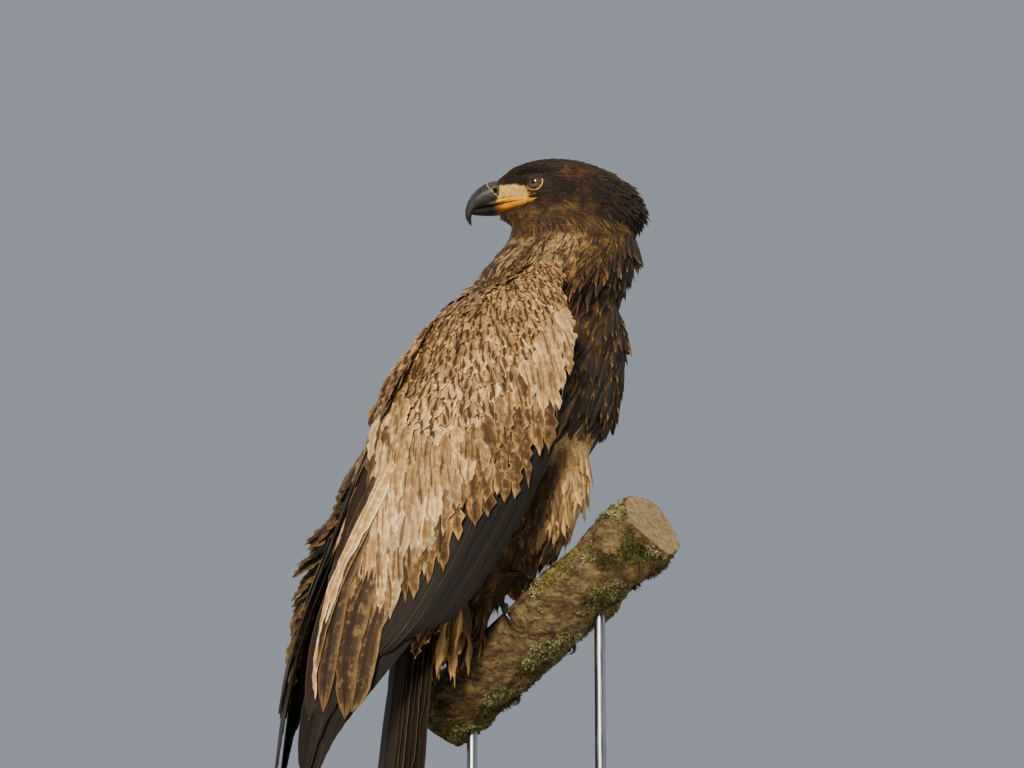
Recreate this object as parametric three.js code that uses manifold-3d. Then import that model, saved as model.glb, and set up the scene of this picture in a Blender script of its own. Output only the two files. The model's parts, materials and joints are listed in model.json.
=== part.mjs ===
// An immature bald eagle perched on a cut length of branch, on a plain display stand.
// Millimetres, +Z up. The body faces +X, its left side is +Y, and the head is turned back over the left shoulder.
// Heights are given from the middle of the breast, and the whole is lifted onto the floor at the end.
import * as THREE from "three";
import Module from "manifold-3d";

const wasm = await Module();
wasm.setup();

// Driving dimensions
const GAP = 0.35; // left between pieces that touch
const LIFT = 552; // height of the middle of the breast above the floor
const STAND_X = -45; // the base's centre in the body's frame
const STAND_Y = -22;
const HEAD_TURN = 148; // degrees that the head is turned to the left of the body
const NECK_X = 87; // where the neck's axis stands
const EYE_RADIUS = 11.5;
const BRANCH_RADIUS = 41;
const BRANCH_LOW = -118; // the two sawn ends, measured along the branch from between the feet
const BRANCH_HIGH = 236;
const BRANCH_HEADING = -70; // degrees, the way the branch climbs, seen from above
const BRANCH_RISE = 34.7; // degrees
const FOOT_SPACING = 48; // of each foot from the middle, along the branch
const BASE_RADIUS = 165;
const BASE_HEIGHT = 22;
const ROD_RADIUS = 6;

const vec = (x, y, z) => new THREE.Vector3(x, y, z);
const radians = THREE.MathUtils.degToRad;
const mix = THREE.MathUtils.lerp;
const clamp = THREE.MathUtils.clamp;

// Seeded noise in place of Math.random, so that the model is the same each time
function randomFrom(seed) {
  let state = seed;
  return () => {
    state = (state * 1664525 + 1013904223) % 4294967296;
    return state / 4294967296;
  };
}

// A smooth function through [position, value] pairs
function profile(pairs) {
  const slope = (i) => {
    const a = pairs[Math.max(i - 1, 0)];
    const b = pairs[Math.min(i + 1, pairs.length - 1)];
    return (b[1] - a[1]) / (b[0] - a[0]);
  };
  return (t) => {
    const x = clamp(t, pairs[0][0], pairs[pairs.length - 1][0]);
    let i = 0;
    while (i < pairs.length - 2 && x > pairs[i + 1][0]) i++;
    const [x0, y0] = pairs[i];
    const [x1, y1] = pairs[i + 1];
    const w = x1 - x0;
    const u = (x - x0) / w;
    const u2 = u * u;
    const u3 = u2 * u;
    return (
      (2 * u3 - 3 * u2 + 1) * y0 +
      (u3 - 2 * u2 + u) * w * slope(i) +
      (3 * u2 - 2 * u3) * y1 +
      (u3 - u2) * w * slope(i + 1)
    );
  };
}

// Solids
function solidFrom(points, triangles) {
  const make = (tris) =>
    new wasm.Manifold(
      new wasm.Mesh({
        numProp: 3,
        vertProperties: new Float32Array(points.flatMap((p) => [p.x, p.y, p.z])),
        triVerts: new Uint32Array(tris.flat()),
      }),
    );
  const made = make(triangles);
  return made.volume() > 0 ? made : make(triangles.map(([a, b, c]) => [a, c, b]));
}

// A closed skin over rings that have the same number of points each
function loft(rings) {
  const n = rings[0].length;
  const points = rings.flat();
  const triangles = [];
  for (let r = 0; r + 1 < rings.length; r++) {
    for (let i = 0; i < n; i++) {
      const a = r * n + i;
      const b = r * n + ((i + 1) % n);
      triangles.push([a, b, a + n], [b, b + n, a + n]);
    }
  }
  for (const r of [0, rings.length - 1]) {
    const centre = vec(0, 0, 0);
    rings[r].forEach((p) => centre.addScaledVector(p, 1 / n));
    points.push(centre);
    for (let i = 0; i < n; i++) {
      const a = r * n + i;
      const b = r * n + ((i + 1) % n);
      triangles.push(r === 0 ? [b, a, points.length - 1] : [a, b, points.length - 1]);
    }
  }
  return solidFrom(points, triangles);
}

// A ring round a centre, from two half-axes
function ring(centre, across, along, sides, start = 0) {
  return Array.from({ length: sides }, (_, i) => {
    const a = start + (2 * Math.PI * i) / sides;
    return centre.clone().addScaledVector(across, Math.cos(a)).addScaledVector(along, Math.sin(a));
  });
}

// A rounded tube through points, with a radius for each; its rings turn as little as they can
function tube(points, radii, sides, flat = 1, steps = radii.length * 2 - 2) {
  const curve = new THREE.CatmullRomCurve3(points);
  const radiusAt = profile(radii.map((r, i) => [i / (radii.length - 1), r]));
  const first = curve.getTangent(0);
  let up = vec(0, 0, 1);
  if (Math.abs(first.z) > 0.9) up = vec(1, 0, 0);
  const rings = [];
  for (let i = 0; i <= steps; i++) {
    const t = i / steps;
    const along = curve.getTangent(t);
    up.addScaledVector(along, -up.dot(along)).normalize();
    const across = along.clone().cross(up).normalize();
    const r = radiusAt(t);
    rings.push(ring(curve.getPoint(t), across.multiplyScalar(r), up.clone().multiplyScalar(r * flat), sides));
  }
  return loft(rings);
}

function ball(centre, rx, ry, rz, sides = 16) {
  const rings = [];
  const rows = Math.round(sides * 0.6);
  for (let i = 0; i <= rows; i++) {
    const a = Math.PI * mix(0.05, 0.95, i / rows);
    const middle = centre.clone().add(vec(0, 0, -Math.cos(a) * rz));
    rings.push(ring(middle, vec(Math.sin(a) * rx, 0, 0), vec(0, Math.sin(a) * ry, 0), sides));
  }
  return loft(rings);
}

function joined(pieces) {
  return wasm.Manifold.union(pieces);
}

function cutBy(solid, cutters) {
  return cutters.reduce((left, cutter) => left.subtract(cutter), solid);
}

// A mesh of the largest closed body in a solid
const group = new THREE.Group();
const body = new THREE.Group();
body.position.set(-STAND_X, -STAND_Y, LIFT);
group.add(body);

function addNode(name, solid, material, parent = body) {
  const pieces = solid.decompose();
  pieces.sort((a, b) => b.volume() - a.volume());
  const { numProp, vertProperties, triVerts } = pieces[0].getMesh();
  const place = new Float32Array((vertProperties.length / numProp) * 3);
  for (let i = 0; i < place.length / 3; i++) {
    for (let k = 0; k < 3; k++) place[i * 3 + k] = vertProperties[i * numProp + k];
  }
  const geometry = new THREE.BufferGeometry();
  geometry.setAttribute("position", new THREE.BufferAttribute(place, 3));
  geometry.setIndex(new THREE.BufferAttribute(triVerts, 1));
  const mesh = new THREE.Mesh(geometry, material);
  mesh.name = name;
  parent.add(mesh);
  return pieces[0];
}

const finish = (color, roughness, metalness = 0) => new THREE.MeshStandardMaterial({ color, roughness, metalness });
const darkPlumage = finish("#3b2a1c", 0.85);
const palePlumage = finish("#a58b66", 0.85);
const flightPlumage = finish("#2c241d", 0.8);
const darkHorn = finish("#23262a", 0.35);
const yellowSkin = finish("#d39a2c", 0.5);
const blackHorn = finish("#141414", 0.3);
const eyeBrown = finish("#2d2018", 0.1);
const bark = finish("#75695a", 0.95);
const wood = finish("#5b3d26", 0.5);
const steel = finish("#8d8f92", 0.35, 0.9);

// Torso: a leaning body whose sections stand square to the spine
const SPINE = new THREE.CatmullRomCurve3([
  vec(-121, 0, -268),
  vec(-108, 0, -226),
  vec(-84, 0, -165),
  vec(-56, 0, -105),
  vec(-24, 0, -40),
  vec(4, 0, 20),
  vec(28, 0, 72),
  vec(50, 0, 121),
]);
const bodyFront = profile([[0, 18], [0.13, 50], [0.3, 91], [0.46, 121], [0.62, 135], [0.8, 130], [1, 100]]);
const bodyBack = profile([[0, 16], [0.13, 44], [0.3, 76], [0.46, 97], [0.62, 104], [0.8, 88], [1, 58]]);
const bodyHalfWidth = profile([[0, 20], [0.13, 46], [0.3, 67], [0.46, 77], [0.62, 80], [0.8, 80], [1, 76]]);
const BREAST_FULLNESS = 0.18; // how far the section is fuller in front and narrower behind than an ellipse

function torso(grow = 0) {
  const rings = [];
  const stations = 12;
  for (let i = 0; i <= stations; i++) {
    const t = i / stations;
    const along = SPINE.getTangent(t);
    const back = vec(-along.z, 0, along.x);
    const side = vec(0, 1, 0);
    const centre = SPINE.getPoint(t);
    if (i === 0) centre.addScaledVector(along, -grow);
    if (i === stations) centre.addScaledVector(along, grow);
    const points = [];
    const sides = 24;
    for (let k = 0; k < sides; k++) {
      const a = (2 * Math.PI * k) / sides;
      const depth = Math.cos(a) > 0 ? bodyBack(t) : bodyFront(t);
      const fullness = 1 - BREAST_FULLNESS * Math.cos(a);
      points.push(
        centre
          .clone()
          .addScaledVector(back, Math.cos(a) * (depth + grow))
          .addScaledVector(side, Math.sin(a) * (bodyHalfWidth(t) * fullness + grow)),
      );
    }
    rings.push(points);
  }
  return loft(rings);
}

// The head's own frame: forward along the bill, out to the head's left, and up
const forward = vec(Math.cos(radians(HEAD_TURN)), Math.sin(radians(HEAD_TURN)), 0);
const leftOfHead = vec(-forward.y, forward.x, 0);
const inHead = (f, l, z) => vec(NECK_X, 0, z).addScaledVector(forward, f).addScaledVector(leftOfHead, l);

// Neck: from the torso's top up into the head
const NECK_STATIONS = [
  { x: 40, z: 88, long: 74, wide: 72 },
  { x: 47, z: 110, long: 93, wide: 86 },
  { x: 56, z: 131, long: 94, wide: 84 },
  { x: 71, z: 155, long: 88, wide: 75 },
  { x: 84, z: 180, long: 80, wide: 62 },
  { x: 87, z: 199, long: 74, wide: 52 },
  { x: 87, z: 215, long: 52, wide: 40 },
];

function neck(grow = 0) {
  const rings = NECK_STATIONS.map(({ x, z, long, wide }) =>
    ring(
      vec(x, 0, z),
      forward.clone().multiplyScalar(long + grow),
      leftOfHead.clone().multiplyScalar(wide + grow),
      20,
    ),
  );
  return loft(rings);
}

// Head: sections from the bill's root back to the nape
const crownHeight = profile([[-82, 224], [-71, 240], [-52, 256], [-26, 270], [0, 278], [26, 280], [47, 277.5],
  [62, 273.5], [74, 267.5], [86, 258], [95, 252]]);
const throatHeight = profile([[-82, 200], [-71, 186], [-52, 174], [-26, 166], [0, 167], [26, 174], [47, 184], [62, 190],
  [74, 195], [86, 205], [95, 216]]);
const headHalfWidth = profile([[-82, 12], [-71, 31], [-52, 42], [-26, 45], [0, 43], [26, 38], [47, 31], [62, 26],
  [74, 22], [86, 17], [95, 13.5]]);

function skull(grow = 0) {
  const rings = [];
  const stations = 16;
  for (let i = 0; i <= stations; i++) {
    const f = mix(-82, 95, i / stations);
    const top = crownHeight(f) + grow;
    const bottom = throatHeight(f) - grow;
    const wide = headHalfWidth(f) + grow;
    const middle = (top + bottom) / 2;
    const points = [];
    for (let k = 0; k < 20; k++) {
      const a = (2 * Math.PI * k) / 20;
      points.push(inHead(f, Math.cos(a) * wide, middle + (Math.sin(a) * (top - bottom)) / 2));
    }
    rings.push(points);
  }
  rings[0].forEach((p) => p.addScaledVector(forward, -grow));
  return loft(rings);
}

const EYE_FORWARD = 46;
const EYE_HEIGHT = 245;
const EYE_OUT = 21.2;
const eyeCentre = (side) => inHead(EYE_FORWARD, side * EYE_OUT, EYE_HEIGHT);

// The ridge of bare skin and feather over each eye
function brow(side) {
  return tube(
    [
      inHead(79, side * 14, 258),
      inHead(66, side * 24, 261),
      inHead(51, side * 29, 263),
      inHead(35, side * 31.5, 262),
      inHead(18, side * 31, 260),
    ],
    [3.5, 5, 5.2, 4.6, 2],
    8,
    1,
    6,
  );
}

// The fleshy rim round each eye
function lids(side) {
  const points = [];
  const rings = [];
  const sides = 12;
  const outward = leftOfHead.clone().multiplyScalar(side).addScaledVector(forward, 0.35).normalize();
  const alongEye = forward.clone().addScaledVector(outward, -forward.dot(outward)).normalize();
  const overEye = outward.clone().cross(alongEye);
  for (let i = 0; i < sides; i++) {
    const a = (2 * Math.PI * i) / sides;
    const radial = alongEye.clone().multiplyScalar(Math.cos(a)).addScaledVector(overEye, Math.sin(a));
    const centre = eyeCentre(side).addScaledVector(outward, 5.6).addScaledVector(radial, 10.4);
    rings.push(ring(centre, radial.clone().multiplyScalar(1.7), outward.clone().multiplyScalar(2.6), 5));
  }
  const n = 5;
  rings.forEach((r) => points.push(...r));
  const triangles = [];
  for (let r = 0; r < sides; r++) {
    const next = (r + 1) % sides;
    for (let i = 0; i < n; i++) {
      const j = (i + 1) % n;
      triangles.push([r * n + i, r * n + j, next * n + i], [r * n + j, next * n + j, next * n + i]);
    }
  }
  return solidFrom(points, triangles);
}

// Bill: sections that turn from upright at the root to lying across the hook
const UPPER_BILL = [
  { top: [90, 253.2], foot: [90, 223], wide: 15.4 },
  { top: [98, 252.4], foot: [97, 221.7], wide: 14.6 },
  { top: [106.5, 249.6], foot: [103.5, 220], wide: 13.2 },
  { top: [115, 244.2], foot: [108.5, 218.4], wide: 11.7 },
  { top: [122.2, 236.6], foot: [113.5, 217], wide: 10 },
  { top: [127.6, 227.4], foot: [117.6, 215], wide: 7.8 },
  { top: [130.2, 217], foot: [120.8, 212.2], wide: 5.6 },
  { top: [129.2, 207.4], foot: [122, 206.8], wide: 3.7 },
  { top: [125.4, 200.8], foot: [121.6, 202.2], wide: 2.1 },
  { top: [122.2, 197], foot: [121.2, 198.4], wide: 0.7 },
];

function upperBill(grow = 0) {
  return loft(
    UPPER_BILL.map(({ top, foot, wide }, i) => {
      const back = i === 0 ? -grow : 0;
      const points = [];
      const sides = 14;
      for (let k = 0; k < sides; k++) {
        const a = (2 * Math.PI * k) / sides;
        const up = (Math.sin(a) + 1) / 2;
        const narrow = 1 - 0.35 * Math.max(0, Math.sin(a)) ** 2;
        const f = mix(foot[0], top[0], up);
        const z = mix(foot[1], top[1], up);
        points.push(inHead(f + back + grow * Math.sin(a) * 0.5, Math.cos(a) * (wide * narrow + grow), z + grow * Math.sin(a)));
      }
      return points;
    }),
  );
}

// The lower half of the bill and the soft yellow gape behind it
const LOWER_BILL = [
  { f: 27, top: 231, foot: 227, wide: 33 },
  { f: 35, top: 229.8, foot: 223.6, wide: 31.8 },
  { f: 46, top: 228.2, foot: 220.2, wide: 29.6 },
  { f: 60, top: 226.4, foot: 216.5, wide: 25.4 },
  { f: 76, top: 224, foot: 214, wide: 20 },
  { f: 90, top: 221.6, foot: 212, wide: 15 },
  { f: 101, top: 219.2, foot: 210.8, wide: 11.6 },
  { f: 110, top: 216.8, foot: 210, wide: 8.6 },
  { f: 117, top: 214.6, foot: 210.2, wide: 4.9 },
];
const GAPE_THICKNESS = 3.4; // of the upper lip that runs back from the bill to below the eye

function lowerBill(grow = 0) {
  const last = LOWER_BILL.length - 1;
  return loft(
    LOWER_BILL.map(({ f, top, foot, wide }, i) =>
      Array.from({ length: 12 }, (_, k) => {
        const a = (2 * Math.PI * k) / 12;
        const end = i === 0 ? -grow : i === last ? grow : 0;
        const across = Math.sign(Math.cos(a)) * Math.abs(Math.cos(a)) ** 0.8;
        const up = Math.sign(Math.sin(a)) * Math.abs(Math.sin(a)) ** 0.65;
        return inHead(f + end, across * (wide + grow), (top + foot) / 2 + up * ((top - foot) / 2 + grow));
      }),
    ),
  );
}

function gapeLip(grow = 0) {
  return loft(
    LOWER_BILL.slice(0, 7).map(({ f, top, wide }, i) =>
      Array.from({ length: 12 }, (_, k) => {
        const a = (2 * Math.PI * k) / 12;
        const middle = top + GAPE_THICKNESS / 2 + 0.2;
        const end = i === 0 ? -grow : i === 6 ? grow : 0;
        return inHead(f + end, Math.cos(a) * (wide + 0.6 + grow), middle + Math.sin(a) * (GAPE_THICKNESS / 2 + grow));
      }),
    ),
  );
}

function nostril(side) {
  return tube(
    [inHead(95.5, side * 17, 238.8), inHead(92.5, side * 11.5, 236.8), inHead(91, side * 7.5, 235.2)],
    [2.3, 2.3, 1.5],
    8,
    1.5,
    2,
  );
}

// Wings: each folded wing is a curved sheet between its back edge, along the spine, and its front edge
const WING_BACK_EDGE = [
  [-18, 60, 132],
  [-98, 28, 80],
  [-178, 13, -48],
  [-222, 15, -190],
  [-262, 19, -330],
  [-288, 25, -500],
];
const WING_FRONT_EDGE = [
  [13, 85, 128],
  [8, 121, 30],
  [-30, 119, -112],
  [-125, 94, -268],
  [-215, 64, -368],
  [-272, 36, -478],
];
const NEAR_BULGE = profile([[0, 8], [0.2, 24], [0.4, 28], [0.6, 19], [0.75, 9], [0.87, 3], [1, 0]]);
const FAR_BULGE = profile([[0, 6], [0.2, 15], [0.4, 23], [0.6, 19], [0.75, 9], [0.87, 3], [1, 0]]);
const coreDepth = profile([[0, 2], [0.12, 1], [0.3, 5], [0.45, 11], [0.6, 17], [0.72, 19]]);
// How much looser the left wing is held than the right one, from the shoulder to the tip
const LEFT_WING_SPREAD = [-6, -8, -3, 9, 15, 7];

const coreThickness = profile([[0, 20], [0.1, 44], [0.3, 46], [0.45, 28], [0.6, 8], [0.68, 2]]);

// side is 1 for the left wing and -1 for the right; s runs from shoulder to tip, q from back edge to front edge
function wingSheet(side) {
  const edge = (points) =>
    new THREE.CatmullRomCurve3(
      points.map(([x, y, z], i) => {
        const loose = side > 0 ? LEFT_WING_SPREAD[i] : 0;
        return vec(x - loose * 0.6, side * (y + loose), z);
      }),
    );
  const wingBulge = side > 0 ? FAR_BULGE : NEAR_BULGE;
  const back = edge(WING_BACK_EDGE);
  const front = edge(WING_FRONT_EDGE);
  const flat = (s, q) => back.getPoint(clamp(s, 0, 1)).lerp(front.getPoint(clamp(s, 0, 1)), q);
  const outward = (s) => {
    const chord = front.getPoint(clamp(s, 0, 1)).sub(back.getPoint(clamp(s, 0, 1)));
    const along = flat(Math.min(s + 0.02, 1), 0.5).sub(flat(Math.max(s - 0.02, 0), 0.5));
    return along.cross(chord).multiplyScalar(-side).normalize();
  };
  const point = (s, q, h = 0) =>
    flat(s, q).addScaledVector(outward(s), wingBulge(s) * 4 * q * (1 - q)).addScaledVector(normal(s, q), h);
  const bare = (s, q) => flat(s, q).addScaledVector(outward(s), wingBulge(s) * 4 * q * (1 - q));
  const normal = (s, q) => {
    const across = bare(s, q + 0.02).sub(bare(s, q - 0.02));
    const along = bare(Math.min(s + 0.01, 1), q).sub(bare(Math.max(s - 0.01, 0), q));
    return along.cross(across).multiplyScalar(-side).normalize();
  };
  return { point, normal };
}

// The arm and the roots of its feathers: a pad under the sheet, thin at its edges
function wingCore(sheet) {
  const rings = [];
  const rows = 11;
  const columns = 7;
  for (let i = 0; i <= rows; i++) {
    const s = mix(0.01, 0.68, i / rows);
    const outer = [];
    const inner = [];
    for (let k = 0; k <= columns; k++) {
      const q = mix(0.02, 0.98, k / columns);
      const rim = k === 0 || k === columns ? 2.5 : 0;
      const thick = coreThickness(s) * mix(0.3, 1, Math.sin(Math.PI * 0.5 * Math.min(1, q * 1.6)));
      outer.push(sheet.point(s, q, -coreDepth(s) - rim));
      inner.push(sheet.point(s, q, -coreDepth(s) - 5 - thick));
    }
    rings.push([...outer, ...inner.reverse()]);
  }
  return loft(rings);
}

// One feather: a thin strip of even thickness with a rounded tip, bent along its path
function vane(pathAt, widthAt, thickness, rollAt, steps) {
  const rings = [];
  for (let i = 0; i <= steps; i++) {
    const t = i / steps;
    const here = pathAt(t);
    const before = pathAt(Math.max(t - 0.02, 0)).point;
    const after = pathAt(Math.min(t + 0.02, 1)).point;
    const along = after.clone().sub(before).normalize();
    const side = here.normal.clone().cross(along).normalize().applyAxisAngle(along, rollAt(t));
    const up = along.clone().cross(side).normalize();
    if (up.dot(here.normal) < 0) up.negate();
    const half = widthAt(t) / 2;
    const deep = thickness * (t > 0.95 ? 0.5 : 1);
    rings.push([
      here.point.clone().addScaledVector(side, -half).addScaledVector(up, deep / 2),
      here.point.clone().addScaledVector(side, half).addScaledVector(up, deep / 2),
      here.point.clone().addScaledVector(side, half).addScaledVector(up, -deep / 2),
      here.point.clone().addScaledVector(side, -half).addScaledVector(up, -deep / 2),
    ]);
  }
  return loftAlike(rings);
}

// A loft of four-point rings whose two broad faces are split into triangles alike
function loftAlike(rings) {
  const points = rings.flat();
  const triangles = [];
  for (let r = 0; r + 1 < rings.length; r++) {
    const a = r * 4;
    const b = a + 4;
    triangles.push([a, a + 1, b], [a + 1, b + 1, b]);
    triangles.push([a + 1, a + 2, b + 1], [a + 2, b + 2, b + 1]);
    triangles.push([a + 2, a + 3, b + 2], [a + 3, b + 3, b + 2]);
    triangles[triangles.length - 2] = [a + 2, a + 3, b + 3];
    triangles[triangles.length - 1] = [a + 2, b + 3, b + 2];
    triangles.push([a + 3, a, b + 3], [a, b, b + 3]);
  }
  const end = (rings.length - 1) * 4;
  triangles.push([1, 0, 3], [1, 3, 2], [end, end + 1, end + 3], [end + 1, end + 2, end + 3]);
  return solidFrom(points, triangles);
}

// Tiers of wing feathers, from the innermost out. root and tip are [s, q] at the back edge and at the front edge
const WING_TIERS = [
  { count: 5, root: [[0.5, 0.45], [0.42, 0.82]], tip: [[1, 0.3], [0.86, 0.8]], width: 24, depth: [21, 17],
    thickness: 1.3, roll: [14, 9], steps: 4, round: 0.35, sink: 7 },
  { count: 8, root: [[0.46, 0.12], [0.32, 0.88]], tip: [[0.93, 0.2], [0.74, 0.9]], width: 32, depth: [16, 10],
    thickness: 1.3, roll: [14, 10], steps: 4, round: 0.45, sink: 7 },
  { count: 8, root: [[0.36, 0.12], [0.18, 0.88]], tip: [[0.8, 0.24], [0.44, 0.9]], width: 34, depth: [11, 5],
    thickness: 1.3, roll: [14, 9], steps: 4, round: 0.5, sink: 4 },
  { count: 7, root: [[0.22, 0.14], [0.1, 0.84]], tip: [[0.56, 0.16], [0.31, 0.88]], width: 36, depth: [8, 1],
    thickness: 1.3, roll: [14, 9], steps: 3, round: 0.55, sink: 2 },
  { count: 6, root: [[0.1, 0.15], [0.05, 0.84]], tip: [[0.37, 0.16], [0.2, 0.86]], width: 36, depth: [6, -2.5],
    thickness: 1.3, roll: [15, 9], steps: 3, round: 0.6, sink: 1 },
];

// Ragged feathers that stand out behind the looser left wing
const LOOSE_TIER = { count: 3, root: [[0.46, 0.1], [0.56, 0.14]], tip: [[0.71, -0.17], [0.87, -0.1]], width: 22,
  depth: [9, 3], thickness: 1.3, roll: [6, 4], steps: 3, round: 0.35, sink: 0 };

function wingFeathers(sheet, side) {
  const random = randomFrom(side > 0 ? 7 : 3);
  const made = [];
  for (const tier of side > 0 ? [...WING_TIERS, LOOSE_TIER] : WING_TIERS) {
    for (let i = 0; i < tier.count; i++) {
      const k = i / (tier.count - 1);
      const from = tier.root[0].map((v, n) => mix(v, tier.root[1][n], k));
      const to = tier.tip[0].map((v, n) => mix(v, tier.tip[1][n], k));
      to[0] += (random() - 0.5) * 0.018;
      const pathAt = (t) => {
        const s = mix(from[0], to[0], t);
        const q = mix(from[1], to[1], t ** 1.15);
        const h = -mix(tier.depth[0], tier.depth[1] + tier.sink * k, t);
        return { point: sheet.point(s, q, h), normal: sheet.normal(s, q) };
      };
      const widthAt = (t) => tier.width * Math.min(0.4 + t * 1.3, 1) * (t > 0.95 ? tier.round : t > 0.7 ? 0.93 : 1);
      made.push(vane(pathAt, widthAt, tier.thickness, (t) => -radians(mix(tier.roll[0], tier.roll[1], t)) * side, tier.steps));
    }
  }
  return made;
}

function wing(side) {
  const sheet = wingSheet(side);
  return joined([wingCore(sheet), ...wingFeathers(sheet, side)]);
}

// Tail: twelve feathers that overlap from the middle pair outwards
const TAIL_FEATHERS = 12;
const TAIL_LENGTH = 285;
const TAIL_ROOT = vec(-124, 0, -212);
const TAIL_HALF_WIDTH = 26; // of the shafts at the tip of the closed tail
const TAIL_LAYER = 1.8; // between one feather and the next
const TAIL_LEAN = 7; // degrees that the tail's tip is behind its root

function tail() {
  const made = [];
  const down = vec(-Math.sin(radians(TAIL_LEAN)), 0, -Math.cos(radians(TAIL_LEAN)));
  const rear = vec(-down.z, 0, down.x).negate();
  for (let i = 0; i < TAIL_FEATHERS; i++) {
    const side = i % 2 === 0 ? 1 : -1;
    const rank = Math.floor(i / 2) / (TAIL_FEATHERS / 2 - 1);
    const pathAt = (t) => {
      const out = side * mix(3, TAIL_HALF_WIDTH, rank) * mix(0.35, 1, t);
      const point = TAIL_ROOT.clone()
        .addScaledVector(down, t * TAIL_LENGTH * (1 - 0.05 * rank * rank))
        .addScaledVector(rear, TAIL_LAYER * (5.5 - i))
        .addScaledVector(vec(0, 1, 0), out);
      return { point, normal: rear.clone() };
    };
    const widthAt = (t) => 34 * Math.min(0.45 + t, 1) * (t > 0.95 ? 0.45 : 1);
    made.push(vane(pathAt, widthAt, 1.3, () => 0, 4));
  }
  const pad = tube(
    [TAIL_ROOT.clone(), TAIL_ROOT.clone().addScaledVector(down, 60), TAIL_ROOT.clone().addScaledVector(down, 120)],
    [24, 20, 3],
    12,
    1,
    3,
  );
  return joined([pad, ...made]);
}

// Branch: a stout cut length of bough that climbs to the bird's right
const branchAlong = vec(
  Math.cos(radians(BRANCH_HEADING)) * Math.cos(radians(BRANCH_RISE)),
  Math.sin(radians(BRANCH_HEADING)) * Math.cos(radians(BRANCH_RISE)),
  Math.sin(radians(BRANCH_RISE)),
);
const branchTop = vec(0, 0, 1).addScaledVector(branchAlong, -branchAlong.z).normalize();
const branchFront = branchTop.clone().cross(branchAlong).normalize();
const PERCH_POINT = vec(-24, 0, -278); // on top of the branch, between the feet
const branchAxis = (w) =>
  PERCH_POINT.clone().addScaledVector(branchTop, -BRANCH_RADIUS).addScaledVector(branchAlong, w);
const roundBranch = (w, angle, radius) =>
  branchAxis(w).addScaledVector(branchTop, Math.cos(angle) * radius).addScaledVector(branchFront, Math.sin(angle) * radius);

function perch(grow = 0) {
  const rings = [];
  const steps = 16;
  for (let i = 0; i <= steps; i++) {
    const w = mix(BRANCH_LOW, BRANCH_HIGH, i / steps);
    const quiet = clamp((Math.abs(w) - 75) / 30, 0, 1); // the bark is even where the toes grip
    const points = [];
    for (let k = 0; k < 18; k++) {
      const a = (2 * Math.PI * k) / 18;
      const knots = quiet * (1.8 * Math.sin(3 * a + w * 0.05) + 1.4 * Math.sin(5 * a - w * 0.09) + 1.1 * Math.sin(w * 0.07));
      points.push(roundBranch(w, a, BRANCH_RADIUS + knots + grow));
    }
    rings.push(points);
  }
  return loft(rings);
}

// Legs: shaggy thighs, then bare shanks with three toes over the front of the branch and one behind
const footTop = (side) => roundBranch(-side * FOOT_SPACING, radians(4), BRANCH_RADIUS + 10);

function thigh(side, grow = 0) {
  const foot = footTop(side);
  const path = [
    vec(44, side * 34, -56),
    vec(26, side * 44, -110),
    vec(-2, side * 46, -165),
    foot.clone().add(vec(-4, side * 5, 52)),
    foot.clone().add(vec(-8, side * 3, 12)),
  ];
  const leg = tube(path, [30 + grow, 40 + grow, 38 + grow, 30 + grow, 20 + grow], 16, 1.33, 7);
  const heel = foot.clone().add(vec(-16, -side * 2, 30));
  const tuft = tube(
    [heel, heel.clone().add(vec(-26, 0, -32)), heel.clone().add(vec(-36, 0, -62)), heel.clone().add(vec(-38, 0, -88))],
    [20 + grow, 22 + grow, 15 + grow, 3 + grow],
    12,
    0.8,
    5,
  );
  return joined([leg, tuft]);
}

const TOE_RADIUS = 8.2;
const TOES = [
  { spread: -24, start: 8, length: 62, claw: 30 },
  { spread: 0, start: 10, length: 80, claw: 33 },
  { spread: 25, start: 8, length: 60, claw: 30 },
  { spread: 5, start: -14, length: -40, claw: -36 },
];
const TOE_PATH_RADIUS = BRANCH_RADIUS + TOE_RADIUS + GAP + 0.5;

// A point on a toe, measured in millimetres of travel round the branch from the toe's root
function toePlace(side, toe, travel, lift = 0) {
  const angle = radians(toe.start) + travel / TOE_PATH_RADIUS;
  const share = Math.min(Math.abs(travel) / 60, 1.4);
  return roundBranch(-side * FOOT_SPACING + toe.spread * share, angle, TOE_PATH_RADIUS + lift);
}

function toe(side, shape, grow = 0) {
  const points = [];
  const radii = [];
  const joints = 7;
  for (let i = 0; i <= joints; i++) {
    const t = i / joints;
    const knuckle = i % 2 === 1 ? 0.7 : -0.4;
    points.push(toePlace(side, shape, shape.length * t, knuckle * 0.6));
    radii.push(TOE_RADIUS * mix(1.02, 0.74, t) + knuckle * 0.5 + grow);
  }
  return tube(points, radii, 8, 1, 6);
}

function foot(side) {
  const top = footTop(side);
  const shank = tube(
    [top.clone().add(vec(0, 0, -2)), top.clone().add(vec(-3, side * 2, 16)), top.clone().add(vec(-8, side * 4, 50))],
    [10.5, 8.6, 9.5],
    10,
    1,
    2,
  );
  const pad = ball(roundBranch(-side * FOOT_SPACING, radians(2), BRANCH_RADIUS + 9.5), 13, 12, 9.5, 12);
  return joined([shank, pad, ...TOES.map((shape) => toe(side, shape))]);
}

function claw(side, shape) {
  const way = Math.sign(shape.length);
  const points = [];
  const radii = [];
  const steps = 5;
  for (let i = 0; i <= steps; i++) {
    const t = i / steps;
    const travel = shape.length + way * -5 + shape.claw * t * 1.12;
    points.push(toePlace(side, shape, travel, 5.5 * Math.sin(Math.PI * Math.min(t * 1.05, 1)) - 5.6 * t * t));
    radii.push(mix(5.4, 0.55, t ** 0.85));
  }
  return tube(points, radii, 8, 1, 6);
}

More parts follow.
